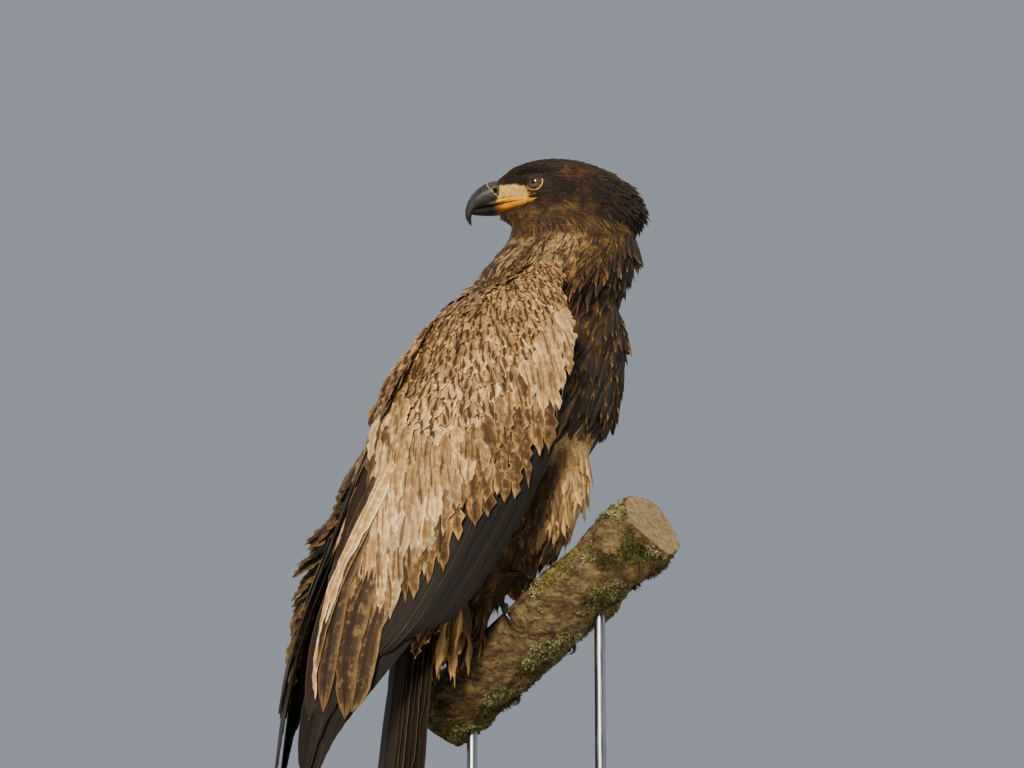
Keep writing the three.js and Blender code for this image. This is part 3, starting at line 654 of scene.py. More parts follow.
def coatColours(b):
    f, l, z = headPlace(b)
    head, face, neck, thigh = skinRegions(b)
    spine = spineX(z)
    front = ease(-25, 45, b[:, 0] - spine)  # 1 on the breast, 0 on the back
    lore = loreShare(f, l, z)
    flank = ease(30, 52, np.abs(b[:, 1])) * ease(-18, -58, z) * ease(62, 40, b[:, 0] - spine) * (1 - neck)
    # rear: low down behind the leg, the pale thigh tint gives way to the dark shank tint as painted shade between the
    # wing and the thigh
    rear = ease(-52, -100, z) * ease(6, -18, b[:, 0] - legX(z))
    crown = ease(243, 262, z) * ease(60, 30, f)
    throatShare = ease(226, 196, z) * ease(-30, 15, f) * head
    shares = {
        "lore": lore * 6,
        "face": head * (face * 1.2 + 0.15) * (1 - lore),
        "crown": head * crown * 1.6 * (1 - lore),
        # a band of painted shadow under the brow ridge
        "brow": ease(243, 244.5, z) * ease(253, 249, z) * ease(44, 54, f) * ease(84, 78, f) * head * 6,
        "cheek": head * (1 - crown) * (1 - face) * 0.9,
        "throat": (throatShare * 1.5 + neck * front * 0.15) * (1 - lore),
        "nape": neck * ease(-12, -40, b[:, 0] - spine) * ease(118, 134, z) * ease(178, 160, z) * 1.4,
        "breast": ((1 - head) * (1 - neck) * (1 - thigh) * ease(-120, -40, z) * (1 - flank) + neck * 0.9) * front,
        "belly": (1 - head) * (1 - neck) * (1 - thigh) * front * ease(-20, -110, z) + 0.001,
        "mantle": (1 - head) * (1 - neck * 0.45) * (1 - thigh) * (1 - front),
        "thigh": (thigh * ease(-182, -140, z) * 2.5 + flank * front * 3 * (1 - head)) * (1 - rear),
        "shank": thigh * ease(-140, -182, z) * 2.5 + (thigh + flank * front) * rear * 2.5,
    }
    return plumage(shares), lore


def featherSizes(b, normals):  # length of the feathers in millimetres, shorter on shelves
    f, l, z = headPlace(b)
    head, face, neck, thigh = skinRegions(b)
    onHead = blend(20.0, 10.0, ease(-60, 10, f))
    onHead = blend(onHead, 5.0, ease(25, 72, f))
    hangs = ease(-18, 6, b[:, 0] - legX(z))  # behind the leg they stay long
    size = blend(34.0, 44.0, neck * ease(75, 110, z))
    size = blend(size, 32.0, thigh)
    size = blend(size, 22.0, ease(-215, -270, z) * thigh * hangs)
    size = size * (1 - 0.5 * ease(0.15, 0.5, normals[:, 2]) * (1 - head))
    return blend(size, onHead, head)


skinLie = layOfCoat(skinBody, skinNormals)
skinColours, skinLore = coatColours(skinBody)
skinSize = featherSizes(skinBody, skinNormals)


def headSpots(f):  # how far forward and how high in the head a point is, in metres
    moved = f.vector("SUBTRACT", f.node("TexCoord").outputs["Object"], tuple(toFrame((neckX, 0, 0))))
    return f.vector("DOT_PRODUCT", moved, tuple(headForward)), f.node("SeparateXYZ", {0: moved}).outputs[2]


def lipEdge(f, forward):  # height of the yellow lip's upper edge
    return f.minus(0.2305, f.times(f.minus(forward, 0.04), 0.085))


def skinFinish():
    f = Finish("skinFinish", 0.8, Specular_IOR_Level=0.2)
    spot = f.place()
    fine = f.grain(spot, 420.0, 4.0, 0.65)
    colour = f.mix(f.spread(f.grain(spot, 70.0, 3.0, 0.6), 0.35, 0.7), f.colour("vane"), f.colour("fringe"))
    colour = f.mix(f.spread(fine, 0.4, 0.65, 0.0, 0.6), colour, "2a1d13", "MULTIPLY")
    forward, height = headSpots(f)
    bare = f.mix(f.spread(forward, 0.062, 0.084), "c39a55", "d9a93a")
    bare = f.mix(f.spread(f.grain(spot, 190.0, 3.0, 0.6), 0.42, 0.6), bare, "e2c08c")
    bare = f.mix(f.spread(fine, 0.4, 0.62, 0.0, 0.6), bare, "a0742a")
    # painted shade in the fold between the bare patch and the bright lip
    overLip = f.minus(height, lipEdge(f, forward))
    foldShade = f.spread(f.math("ABSOLUTE", f.minus(overLip, 0.0013)), 0.0003, 0.0012, 0.7, 0.0)
    bare = f.mix(f.times(foldShade, f.spread(forward, 0.062, 0.074)), bare, "5b401f")
    lip = f.mix(f.spread(fine, 0.35, 0.65), "e8a51c", "ffc940")
    bare = f.mix(f.spread(overLip, -0.0004, 0.0006, 1.0, 0.0), bare, lip)
    return f.finish(f.mix(f.value("lore"), colour, bare), fine, 0.0012, 0.8)


def unwrapByFacing(facing, corners, parts):  # a chart for each part of the skin and each way it faces
    axis = np.argmax(np.abs(facing), axis=1)
    chart = parts * 6 + axis * 2 + (facing[np.arange(len(axis)), axis] > 0)
    across = math.ceil(math.sqrt(parts.max() * 6 + 6))
    uv = np.zeros(corners.shape[:2] + (2,))
    flats = np.array([(1, 2), (0, 2), (0, 1)])
    for n in np.unique(chart):
        on = chart == n
        flat = corners[on][:, :, flats[(n % 6) // 2]]
        low = flat.min((0, 1))
        span = max((flat.max((0, 1)) - low).max(), 1e-6)
        uv[on] = (np.array([n % across, n // across]) + 0.04 + 0.9 * (flat - low) / span) / across
    return uv


for key, values in zip(("vane", "fringe"), skinColours):
    setValues(skinMesh, key, "FLOAT_COLOR", values)
setValues(skinMesh, "lore", "FLOAT", skinLore)
dress(skinObject, skinFinish(), "dark_plumage", "torso", "neck", "head", "thigh_left", "thigh_right")
skinQuads = readOut(skinMesh.loops, "vertex_index", 1, np.int32).reshape(-1, 4)
faceCentres = skinPoints[skinQuads].mean(1)
faceNormals = unit(skinNormals[skinQuads].mean(1))
faceBody = toBody(faceCentres)
faceHead, _, _, faceThigh = skinRegions(faceBody)
faceParts = np.select([faceHead > 0.5, faceThigh > 0.5], [1, 2 + (faceBody[:, 1] > 0)], 0)
skinQuadUv = unwrapByFacing(faceNormals, skinPoints[skinQuads], faceParts)
print("skin: unwrapped")


# Small feathers: drawn once in a few forms, then set over a surface by Geometry Nodes
def featherForm(name, form, seed):
    draw = np.random.default_rng(seed)
    rows, columns = form["rows"], form["columns"]
    sway = (draw.random() - 0.5) * form["sway"]
    points, uv = [], []
    notch = 1 + form["fray"] * (draw.random((rows + 1, columns + 1)) - 0.5)
    for i in range(rows + 1):
        t = i / rows
        taper = max(0.0, (t - form["shoulder"]) / (1 - form["shoulder"])) ** form["point"]
        wide = max(min(1.0, 0.4 + t * 1.7) * max(0.0, 1 - taper) ** 0.7, form["blunt"])
        for k in range(columns + 1):
            u = 2 * k / columns - 1
            y = t - form["round"] * u * u * t**3
            if i == rows:
                y += form["fray"] * (draw.random() - 0.5) * 0.6
            x = u * wide * 0.5 * (notch[i, k] if abs(u) > 0.9 else 1) + sway * t * t
            points.append((x, y, -form["camber"] * u * u * wide - form["curl"] * t * t))
            uv.append((0.5 + u / 2, t))
    return repeatedForm(name, points, gridFaces(rows, columns).tolist(), uv, smooth=True)


forms = {
    "small": {
        "rows": 3, "columns": 2, "shoulder": 0.45, "point": 2.0, "blunt": 0.16, "round": 0.1,
        "camber": 0.1, "curl": 0.14, "sway": 0.3, "fray": 0.3,
    },
    "hackle": {
        "rows": 7, "columns": 2, "shoulder": 0.25, "point": 1.3, "blunt": 0.05, "round": 0.04,
        "camber": 0.2, "curl": 0.12, "sway": 0.3, "fray": 0.3,
    },
    "contour": {
        "rows": 5, "columns": 4, "shoulder": 0.5, "point": 2.2, "blunt": 0.26, "round": 0.16,
        "camber": 0.14, "curl": 0.14, "sway": 0.16, "fray": 0.34,
    },
    "scale": {
        "rows": 5, "columns": 4, "shoulder": 0.6, "point": 2.4, "blunt": 0.34, "round": 0.2,
        "camber": 0.05, "curl": 0.03, "sway": 0.3, "fray": 0.8,
    },
    "loose": {
        "rows": 6, "columns": 4, "shoulder": 0.5, "point": 2.2, "blunt": 0.26, "round": 0.12,
        "camber": 0.1, "curl": 0.1, "sway": 0.6, "fray": 0.95,
    },
}
formSets = {}


def addForms(name, maker, seed, count=6):  # draws a few forms of one kind into a collection
    formSets[name] = bpy.data.collections.new(name + "Forms")
    for n in range(count):
        formSets[name].objects.link(maker(f"{name}Form{n}", seed + n))


for formName, form in forms.items():
    addForms(formName, lambda name, seed: featherForm(name, form, seed), 40)


class Nodes:  # a geometry tree with short calls
    def __init__(self, name, inputs):
        self.tree = bpy.data.node_groups.new(name, "GeometryNodeTree")
        for way in ("INPUT", "OUTPUT"):
            self.tree.interface.new_socket(name="Geometry", in_out=way, socket_type="NodeSocketGeometry")
        for label, (kind, start) in inputs.items():
            made = self.tree.interface.new_socket(name=label, in_out="INPUT", socket_type="NodeSocket" + kind)
            if start is not None:
                made.default_value = start
        self.source = self.tree.nodes.new("NodeGroupInput")
        self.result = self.tree.nodes.new("NodeGroupOutput")

    def given(self, label):
        return self.source.outputs[label]

    def add(self, kind, inputs=None, **settings):
        made = self.tree.nodes.new(kind)
        for key, value in settings.items():
            setattr(made, key, value)
        for key, value in (inputs or {}).items():
            named = [s for s in made.inputs if s.name == key and s.enabled]
            socket = named[0] if named else made.inputs[key]
            if isinstance(value, bpy.types.NodeSocket):
                self.tree.links.new(value, socket)
            else:
                socket.default_value = value
        return made

    def out(self, made, label=None):
        return next(s for s in made.outputs if s.enabled and (label is None or s.name == label))

    def named(self, name, kind):
        return self.out(self.add("GeometryNodeInputNamedAttribute", {"Name": name}, data_type=kind), "Attribute")

    def store(self, geometry, name, value, kind, domain):
        inputs = {"Geometry": geometry, "Name": name, "Value": value}
        return self.add("GeometryNodeStoreNamedAttribute", inputs, data_type=kind, domain=domain).outputs[0]

    def random(self, kind, low, high, seed):
        made = self.add("FunctionNodeRandomValue", {"Min": low, "Max": high, "Seed": seed}, data_type=kind)
        return self.out(made, "Value")

    def scaled(self, vector, by):
        return self.add("ShaderNodeVectorMath", {0: vector, "Scale": by}, operation="SCALE").outputs[0]

    def sum(self, a, b):
        return self.add("ShaderNodeVectorMath", {0: a, 1: b}, operation="ADD").outputs[0]

    def product(self, a, b):
        return self.add("ShaderNodeMath", {0: a, 1: b}, operation="MULTIPLY").outputs[0]


coatInputs = {
    "Feathers": ("Collection", None), "Spacing": ("Float", 0.008), "Density": ("Float", 20000.0),
    "Width": ("Float", 0.5), "Lift": ("Float", 0.15), "Unrest": ("Float", 0.15),
    "Seed": ("Int", 3), "Finish": ("Material", None),
}


def featherTree():
    g = Nodes("featherCoat", coatInputs)
    strewn = {"Mesh": "Geometry", "Distance Min": "Spacing", "Density Max": "Density", "Seed": "Seed"}
    strewn = {key: g.given(label) for key, label in strewn.items()}
    spread = g.add("GeometryNodeDistributePointsOnFaces", strewn, distribute_method="POISSON")
    # each feather stands on the surface, points along the flow, and then tilts a little its own way
    upright = g.add("FunctionNodeAlignRotationToVector", {"Vector": spread.outputs["Normal"]}, axis="Z")
    flow = {"Rotation": upright.outputs[0], "Vector": g.named("flow", "FLOAT_VECTOR")}
    laid = g.add("FunctionNodeAlignRotationToVector", flow, axis="Y", pivot_axis="Z")
    unrest = g.scaled(g.random("FLOAT_VECTOR", (-0.5, -1, -1), (0.5, 1, 1), 11), g.given("Unrest"))
    tilt = g.sum(unrest, g.add("ShaderNodeCombineXYZ", {0: g.given("Lift")}).outputs[0])
    tilt = g.add("FunctionNodeEulerToRotation", {0: tilt}).outputs[0]
    turned = g.add("FunctionNodeRotateRotation", {0: laid.outputs[0], 1: tilt}, rotation_space="LOCAL")
    size = g.product(g.named("size", "FLOAT"), g.random("FLOAT", 0.82, 1.18, 12))
    scale = g.add("ShaderNodeCombineXYZ", {0: g.product(size, g.given("Width")), 1: size, 2: size})
    chosen = {"Collection": g.given("Feathers"), "Separate Children": True, "Reset Children": True}
    placed = {
        "Points": spread.outputs["Points"], "Instance": g.add("GeometryNodeCollectionInfo", chosen).outputs[0],
        "Pick Instance": True, "Instance Index": g.random("INT", 0, 5, 13),
        "Rotation": turned.outputs[0], "Scale": scale.outputs[0],
    }
    feathers = g.add("GeometryNodeInstanceOnPoints", placed).outputs[0]
    feathers = g.store(feathers, "tone", g.random("FLOAT", 0.0, 1.0, 14), "FLOAT", "INSTANCE")
    feathers = g.add("GeometryNodeRealizeInstances", {0: feathers}).outputs[0]
    patch = g.sum(g.named("rootUV", "FLOAT_VECTOR"), g.scaled(g.named("featherUV", "FLOAT_VECTOR"), 0.003))
    feathers = g.store(feathers, "OFBake", patch, "FLOAT2", "CORNER")
    done = g.add("GeometryNodeSetMaterial", {"Geometry": feathers, "Material": g.given("Finish")})
    g.tree.links.new(done.outputs[0], g.result.inputs[0])
    return g.tree


coatTree = featherTree()


def coatOver(name, ground, s, seed, finish, slot):  # a coat over the ground, by the settings s
    draft = meshObject(name + "Ground", ground["points"], ground["faces"])
    mesh, count = draft.data, len(ground["points"])
    setUv(mesh, "rootUV", ground["uv"].reshape(-1, 2))
    setValues(mesh, "flow", "FLOAT_VECTOR", ground["flow"])
    setValues(mesh, "size", "FLOAT", np.full(count, ground["size"]) / 1000)
    setValues(mesh, "streak", "FLOAT", np.full(count, ground["streak"]))
    for key, values in zip(("vane", "fringe", "shaft"), ground["colours"]):
        setValues(mesh, key, "FLOAT_COLOR", values)
    given = {"Feathers": formSets[s["form"]], "Density": 1.6 / s["Spacing"] ** 2, "Seed": seed, "Finish": finish}
    given.update({key: s[key] for key in ("Spacing", "Width", "Lift", "Unrest")})
    made = draft.modifiers.new("make", "NODES")
    made.node_group = coatTree
    for item in coatTree.interface.items_tree:
        if item.in_out == "INPUT" and item.name in given:
            made[item.identifier] = given[item.name]
    coat = finishedCopy(draft, name)
    print("coat:", name, sum(len(p.vertices) - 2 for p in coat.data.polygons), "triangles")
    return settle(coat, slot)


# What lies under the wings stays bare skin
def wingCover(points, normals):
    hidden = np.zeros(len(points), bool)
    for wing in (rightWing, leftWing):
        s, q = np.meshgrid(np.linspace(0.02, 0.8, 40), np.linspace(0.05, 0.95, 16), indexing="ij")
        grid = toFrame(wing.point(s.ravel(), q.ravel(), np.full(s.size, -10.0)))
        tree = BVHTree.FromPolygons([Vector(p) for p in grid], gridFaces(39, 15).tolist())
        for n in range(len(points)):
            if abs(points[n][1] - 0.022) < 0.02 or hidden[n]:
                continue
            hit = tree.ray_cast(Vector(points[n]) - Vector(normals[n]) * 0.03, Vector(normals[n]), 0.1)
            hidden[n] = hit[0] is not None
    return hidden


faceHidden = wingCover(faceCentres, faceNormals)
faceForward, faceLeft, faceZ = headPlace(faceBody)
eyeCentres = {side: inHead(44.8, side * 21.3, 243.5) for side in (1, -1)}
nearEye = np.minimum(*(np.linalg.norm(faceBody - eyeCentres[s], axis=1) for s in (1, -1)))
besideLip = (faceForward > 34) & (faceZ < 231.5 - 0.05 * (faceForward - 34)) & (faceZ > 222.5) & (np.abs(faceLeft) > 10)
bareFace = ((nearEye < 14.4) & (faceZ < 252.5)) | ((faceForward > 88) & (faceHead > 0.5)) | besideLip
bareLore = loreShare(faceForward, faceLeft, faceZ) > 0.35
isHead = faceHead > 0.5
isThigh = (faceThigh > 0.5) & ~isHead
isNeck = (faceZ > 92) & ~isHead & ~isThigh
isFront = faceBody[:, 0] - spineX(faceZ) > 0
isBody = ~isHead & ~isThigh & ~isNeck & ~faceHidden
print("coat: places sorted")


def groundOf(mask):
    used, faces = cutOut(skinQuads[mask])
    return {
        "points": skinPoints[used], "faces": faces, "uv": skinQuadUv[mask], "flow": skinLie[used],
        "size": skinSize[used], "streak": 0.6, "colours": [c[used] for c in skinColours],
    }


bodyFeather = featherFinish("bodyFeather", bodyLook)
headFeather = featherFinish("headFeather", headLook)
covertFeather = featherFinish("covertFeather", covertLook)
longFeather = featherFinish("longFeather", longLook)
flightFeather = featherFinish("flightFeather", flightLook)

coats = {
    "coatFace": {
        "on": isHead & (faceForward > 18) & ~bareFace & ~bareLore, "form": "small", "slot": "dark_plumage",
        "Spacing": 0.0017, "Width": 0.26, "Lift": 0.15, "Unrest": 0.2,
    },
    "coatLore": {
        "on": bareLore & ~bareFace, "form": "small", "slot": "yellow_skin",
        "Spacing": 0.0022, "Width": 0.12, "Lift": 0.08, "Unrest": 0.3,
    },
    "coatHead": {
        "on": isHead & (faceForward <= 18), "form": "hackle", "slot": "dark_plumage",
        "Spacing": 0.003, "Width": 0.24, "Lift": 0.17, "Unrest": 0.26,
    },
    "coatNeck": {
        "on": isNeck, "form": "hackle", "slot": "dark_plumage",
        "Spacing": 0.0048, "Width": 0.2, "Lift": 0.13, "Unrest": 0.28,
    },
    "coatBreast": {
        "on": isBody & isFront, "form": "contour", "slot": "dark_plumage",
        "Spacing": 0.0062, "Width": 0.34, "Lift": 0.12, "Unrest": 0.24,
    },
    "coatBack": {
        "on": isBody & ~isFront, "form": "contour", "slot": "dark_plumage",
        "Spacing": 0.0082, "Width": 0.5, "Lift": 0.14, "Unrest": 0.16,
    },
    "coatThighRight": {
        "on": isThigh & (faceBody[:, 1] < 0), "form": "loose", "slot": "pale_plumage",
        "Spacing": 0.005, "Width": 0.3, "Lift": 0.07, "Unrest": 0.34,
    },
    "coatThighLeft": {
        "on": isThigh & (faceBody[:, 1] >= 0), "form": "loose", "slot": "pale_plumage",
        "Spacing": 0.005, "Width": 0.3, "Lift": 0.07, "Unrest": 0.34,
    },
}

for number, (coatName, s) in enumerate(coats.items()):
    finish = headFeather if coatName in ("coatFace", "coatLore", "coatHead") else bodyFeather
    coatOver(coatName, groundOf(s["on"]), s, 5 + number, finish, s["slot"])


# Long feathers: each a curved vane with a raised shaft, a split edge and its own place on the bake map
vaneShape = {  # what a vane has, unless its maker says otherwise
    "shaftAt": 0.0, "roll": 0.0, "base": 0.4, "splits": 2, "deep": 1.0, "fray": 0.0,
    "camber": 0.12, "rib": 0.6, "streak": 1.0,
}


class Vanes:
    def __init__(self, name, seed, columns=10, rows=22):
        self.name, self.columns, self.rows = name, columns, rows
        self.random = np.random.default_rng(seed)
        self.t = np.linspace(0, 1, rows + 1)  # a path and its normals are sampled here, from root to tip
        self.points, self.tones, self.colours, self.streaks = [], [], [], []

    def add(self, path, normals, width, tint, **own):  # in millimetres
        shape, t = {**vaneShape, **own}, self.t
        along = unit(np.gradient(path, axis=0))
        side = unit(np.cross(normals, along))
        up = unit(np.cross(along, side))
        roll = math.radians(shape["roll"])
        side, up = side * math.cos(roll) + up * math.sin(roll), up * math.cos(roll) - side * math.sin(roll)
        body = np.minimum(1, shape["base"] + t * 3.0)
        taper = 1 - np.clip((t - shape["shoulder"]) / (1 - shape["shoulder"]), 0, 1) ** shape["point"]
        half = np.maximum(width / 2 * body * np.maximum(taper, 0.0) ** 0.62, 0.35)
        ragged = np.ones((len(t), 2))
        for edge in (0, 1):
            for _ in range(shape["splits"]):
                at, deep = self.random.uniform(0.35, 0.97), self.random.uniform(0.12, 0.3) * shape["deep"]
                tear = np.clip((t - at) / 0.05, 0, 1) * np.clip(1 - (t - at) / 0.09, 0, 1) * (t > at)
                ragged[:, edge] *= 1 - deep * np.exp(-(((t - at) / 0.012) ** 2)) - deep * 0.6 * tear
            ragged[:, edge] *= 1 + shape["fray"] * (self.random.random(len(t)) - 0.5) * ease(0.3, 0.95, t)
        u = np.linspace(-1, 1, self.columns + 1)
        wide = half[:, None] * (1 + shape["shaftAt"] * np.sign(u)) * np.where(u < 0, ragged[:, :1], ragged[:, 1:])
        rise = -shape["camber"] * width * u * u + shape["rib"] * (np.abs(u) < 1e-6)
        grid = path[:, None] + side[:, None] * (wide * u)[..., None] + up[:, None] * rise[:, None]
        grid[-1] += along[-1] * (self.random.random(self.columns + 1)[:, None] - 0.5) * (shape["fray"] * width * 0.5)
        self.points.append(toFrame(grid).reshape(-1, 3))
        self.tones.append(self.random.random())
        self.colours.append([paint(c) if isinstance(c, str) else c for c in tint])
        self.streaks.append(shape["streak"])

    def build(self, material, slot, *replaced):
        n, size = len(self.points), len(self.points[0])
        one = gridFaces(self.rows, self.columns)
        faces = np.concatenate([one + i * size for i in range(n)])
        obj = meshObject(self.name, np.concatenate(self.points), faces, material)
        mesh = obj.data
        grid = np.stack(np.meshgrid(np.linspace(0, 1, self.columns + 1), self.t), -1).reshape(-1, 2)
        uv = np.tile(grid[one.ravel()], (n, 1))
        setUv(mesh, "featherUV", uv)
        across = math.ceil(math.sqrt(n))
        which = np.repeat(np.arange(n), one.size)
        setUv(mesh, "OFBake", (np.stack([which % across, which // across], 1) + uv * 0.92 + 0.04) / across)
        setValues(mesh, "tone", "FLOAT", np.repeat(self.tones, size))
        setValues(mesh, "streak", "FLOAT", np.repeat(self.streaks, size))
        for k, key in enumerate(("vane", "fringe", "shaft")):
            setValues(mesh, key, "FLOAT_COLOR", np.repeat([c[k] for c in self.colours], size, axis=0))
        print("feathers:", self.name, n, "vanes,", len(faces) * 2, "triangles")
        return settle(obj, slot, *replaced)


quill = {
    "primary": ("1b1611", "3b3226", "0d0a08"),
    # secondary: the feathers' own blackish brown, darkened further as painted shade from the coverts that hang over
    # them
    "secondary": ("17130e", "4c3d28", "0b0907"),
    "tertial": ("4d3822", "b8965f", "2a1c0f"),
    "paleLong": ("b38c54", "f3e0b6", "6f4d26"),
    # farWing: dark brown; the far wing's tertials wear it in place of their own tints, as painted shade
    "farWing": ("31251a", "6b5233", "1a120b"),
    "loose": ("403019", "745a35", "20170c"),
    "tail": ("261e16", "665538", "130f0a"),
}
wingTiers = [
    {
        "tint": "primary", "count": 9, "root": ((0.52, 0.3), (0.44, 0.8)), "tip": ((1.0, 0.28), (0.84, 0.84)),
        "width": 27, "deep": (15, 11), "lift": 3, "roll": 12, "shoulder": 0.7, "point": 1.9,
    },
    {
        "tint": "secondary", "count": 15, "root": ((0.46, 0.06), (0.26, 0.96)), "tip": ((0.94, 0.17), (0.64, 0.97)),
        "width": 32, "deep": (11, 6), "lift": 4, "roll": 17, "shoulder": 0.8, "point": 2.0,
    },
    {
        "tint": "farWing", "count": 4, "root": ((0.44, 0.02), (0.42, 0.2)), "tip": ((0.86, 0.08), (0.85, 0.4)),
        "width": 32, "deep": (8, 4), "lift": 4, "roll": 8, "shoulder": 0.7, "point": 1.7,
    },
]
topFeathers = [  # the longest of the inner wing: kind, width, depth and path of s and q, in the order that they lie
    ("tertial", 25, 3.5, ((0.5, 0.42), (0.6, 0.44), (0.7, 0.52), (0.785, 0.74), (0.83, 0.84))),
    ("tertial", 31, 1.5, ((0.5, 0.26), (0.6, 0.26), (0.69, 0.3), (0.765, 0.44), (0.845, 0.78))),
    ("farWing", 24, 1.0, ((0.46, 0.14), (0.58, 0.1), (0.68, 0.09), (0.77, 0.18), (0.85, 0.36))),
    ("paleLong", 13, -1.5, ((0.46, 0.15), (0.575, 0.1), (0.685, 0.03), (0.795, 0.06), (0.836, 0.17))),
    ("paleLong", 10, -2.5, ((0.52, 0.12), (0.585, 0.075), (0.65, 0.02), (0.72, 0.0), (0.775, 0.02))),
    ("tertial", 11, -2.0, ((0.5, 0.18), (0.58, 0.13), (0.66, 0.07), (0.74, 0.05), (0.8, 0.09))),
    ("paleLong", 14, -3.0, ((0.46, 0.2), (0.53, 0.16), (0.6, 0.1), (0.67, 0.06), (0.73, 0.06))),
    ("loose", 12, -0.5, ((0.5, 0.08), (0.56, 0.05), (0.62, 0.0), (0.68, -0.03), (0.73, -0.03))),
]
stiffVane = {"shoulder": 0.66, "point": 1.9, "splits": 4, "deep": 1.2, "fray": 0.14, "streak": 0.8}
softVane = {"shoulder": 0.5, "point": 1.5, "splits": 16, "deep": 2.2, "fray": 1.0, "streak": 0.5}
looseFeathers = {  # s at the first and last root and tip, then q of the tips and how far they stand off
    "count": 30, "width": 22, "root": (0.42, 0.7), "tip": (0.51, 0.845), "facing": (-0.53, -0.84, 0.1),
    "tipQ": profile([(0, -0.04), (0.22, -0.03), (0.36, -0.11), (0.5, -0.13), (0.7, -0.1), (0.85, -0.06), (1, 0.04)]),
    "stand": profile([(0, -2), (0.22, 4), (0.38, 14), (0.5, 13), (0.65, 4), (0.8, -5), (1, -13)]),
}
wings = ((rightWing, "wingRight"), (leftWing, "wingLeft"))


def longFeathers(wing, name, seed):
    v = Vanes(name, seed)
    for tier in wingTiers:
        for i in range(tier["count"]):
            k = i / (tier["count"] - 1)
            root, tip = blend(*tier["root"], k), blend(*tier["tip"], k) + (v.random.random(2) - 0.5) * 0.02
            s, q = blend(root[0], tip[0], v.t), blend(root[1], tip[1], v.t**1.15)
            h = -blend(tier["deep"][0], tier["deep"][1] + tier["lift"] * k, v.t)
            v.add(
                wing.point(s, q, h), wing.normal(s, q), tier["width"], quill[tier["tint"]],
                shoulder=tier["shoulder"], point=tier["point"], roll=tier["roll"] * -wing.side,
                shaftAt=0.25 * wing.side, camber=0.07, splits=1, fray=0.03, streak=0.8,
            )
    v.build(flightFeather, "flight_plumage", "wing_left" if wing.side > 0 else "wing_right")


def innerFeathers(wing, name, seed):  # the mottled tertials and pale plumes that hang over the flight feathers
    v = Vanes(name, seed)
    far = wing.side > 0
    for kind, width, deep, path in topFeathers[: 3 if far else None]:
        s, q = curveThrough([(a, b, 0.0) for a, b in path])(v.t).T[:2]
        h = -deep - 3.0 * (1 - v.t) ** 2
        form = softVane if kind in ("paleLong", "loose") else stiffVane
        # the far wing's tertials take the darker far-wing tint: painted shade
        tint = quill["farWing" if far else kind]
        v.add(wing.point(s, q, h), wing.normal(s, q), width, tint, roll=-5 * wing.side, camber=0.1, rib=0.3, **form)
    for i in range(looseFeathers["count"] if far else 0):  # ragged plumes that stand out past the back
        k = i / (looseFeathers["count"] - 1)
        rootS, tipS = (blend(*looseFeathers[end], k) + v.random.uniform(-0.02, 0.02) for end in ("root", "tip"))
        s = blend(rootS, tipS, v.t)
        q = blend(0.2, looseFeathers["tipQ"](k) + v.random.uniform(-0.02, 0.03), v.t**1.2)
        h = blend(-5, looseFeathers["stand"](k) + v.random.uniform(-3, 4), v.t**1.6)
        roll = v.random.uniform(-20, 20)
        v.add(
            wing.point(s, q, h), unit(blend(wing.normal(s, q), looseFeathers["facing"], 0.75)),
            looseFeathers["width"] * v.random.uniform(0.55, 1.15), quill["loose"], shoulder=0.45, point=1.6, roll=roll,
            camber=0.1, splits=8, deep=1.8, fray=0.2 + 0.8 * float(ease(0.1, 0.35, k)), streak=0.6, rib=0.4,
        )
    v.build(longFeather, "pale_plumage")


for n, (wing, label) in enumerate(wings):
    longFeathers(wing, label + "Flights", 21 + n)
for n, (wing, label) in enumerate(wings):
    innerFeathers(wing, label + "Tertials", 23 + n)


# Coverts: the big ones in rows, the small ones strewn over the arm
edgeOfCoverts = profile([  # where they end on the flight feathers: s by q
    (0, 0.6), (0.12, 0.655), (0.25, 0.695), (0.4, 0.705), (0.51, 0.685),
    (0.66, 0.64), (0.74, 0.59), (0.81, 0.51), (0.88, 0.46), (1, 0.41),
])
covertRowSettings = [  # how far back from the edge, how many, length and width in millimetres, depth, colour
    {"inset": 0.0, "count": 25, "length": 104, "width": 21, "deep": 4.5, "tint": "mottled"},
    {"inset": 0.05, "count": 25, "length": 92, "width": 19, "deep": 3.0, "tint": "mottled"},
    {"inset": 0.11, "count": 28, "length": 76, "width": 18, "deep": 1.4, "tint": "white"},
    {"inset": 0.15, "count": 32, "length": 58, "width": 16, "deep": 0.4, "tint": "white"},
    {"inset": 0.185, "count": 36, "length": 46, "width": 14, "deep": -0.4, "tint": "median"},
    {"inset": 0.215, "count": 40, "length": 38, "width": 13, "deep": -0.8, "tint": "median"},
    {"inset": 0.24, "count": 42, "length": 32, "width": 12, "deep": -1.0, "tint": "lesser"},
]


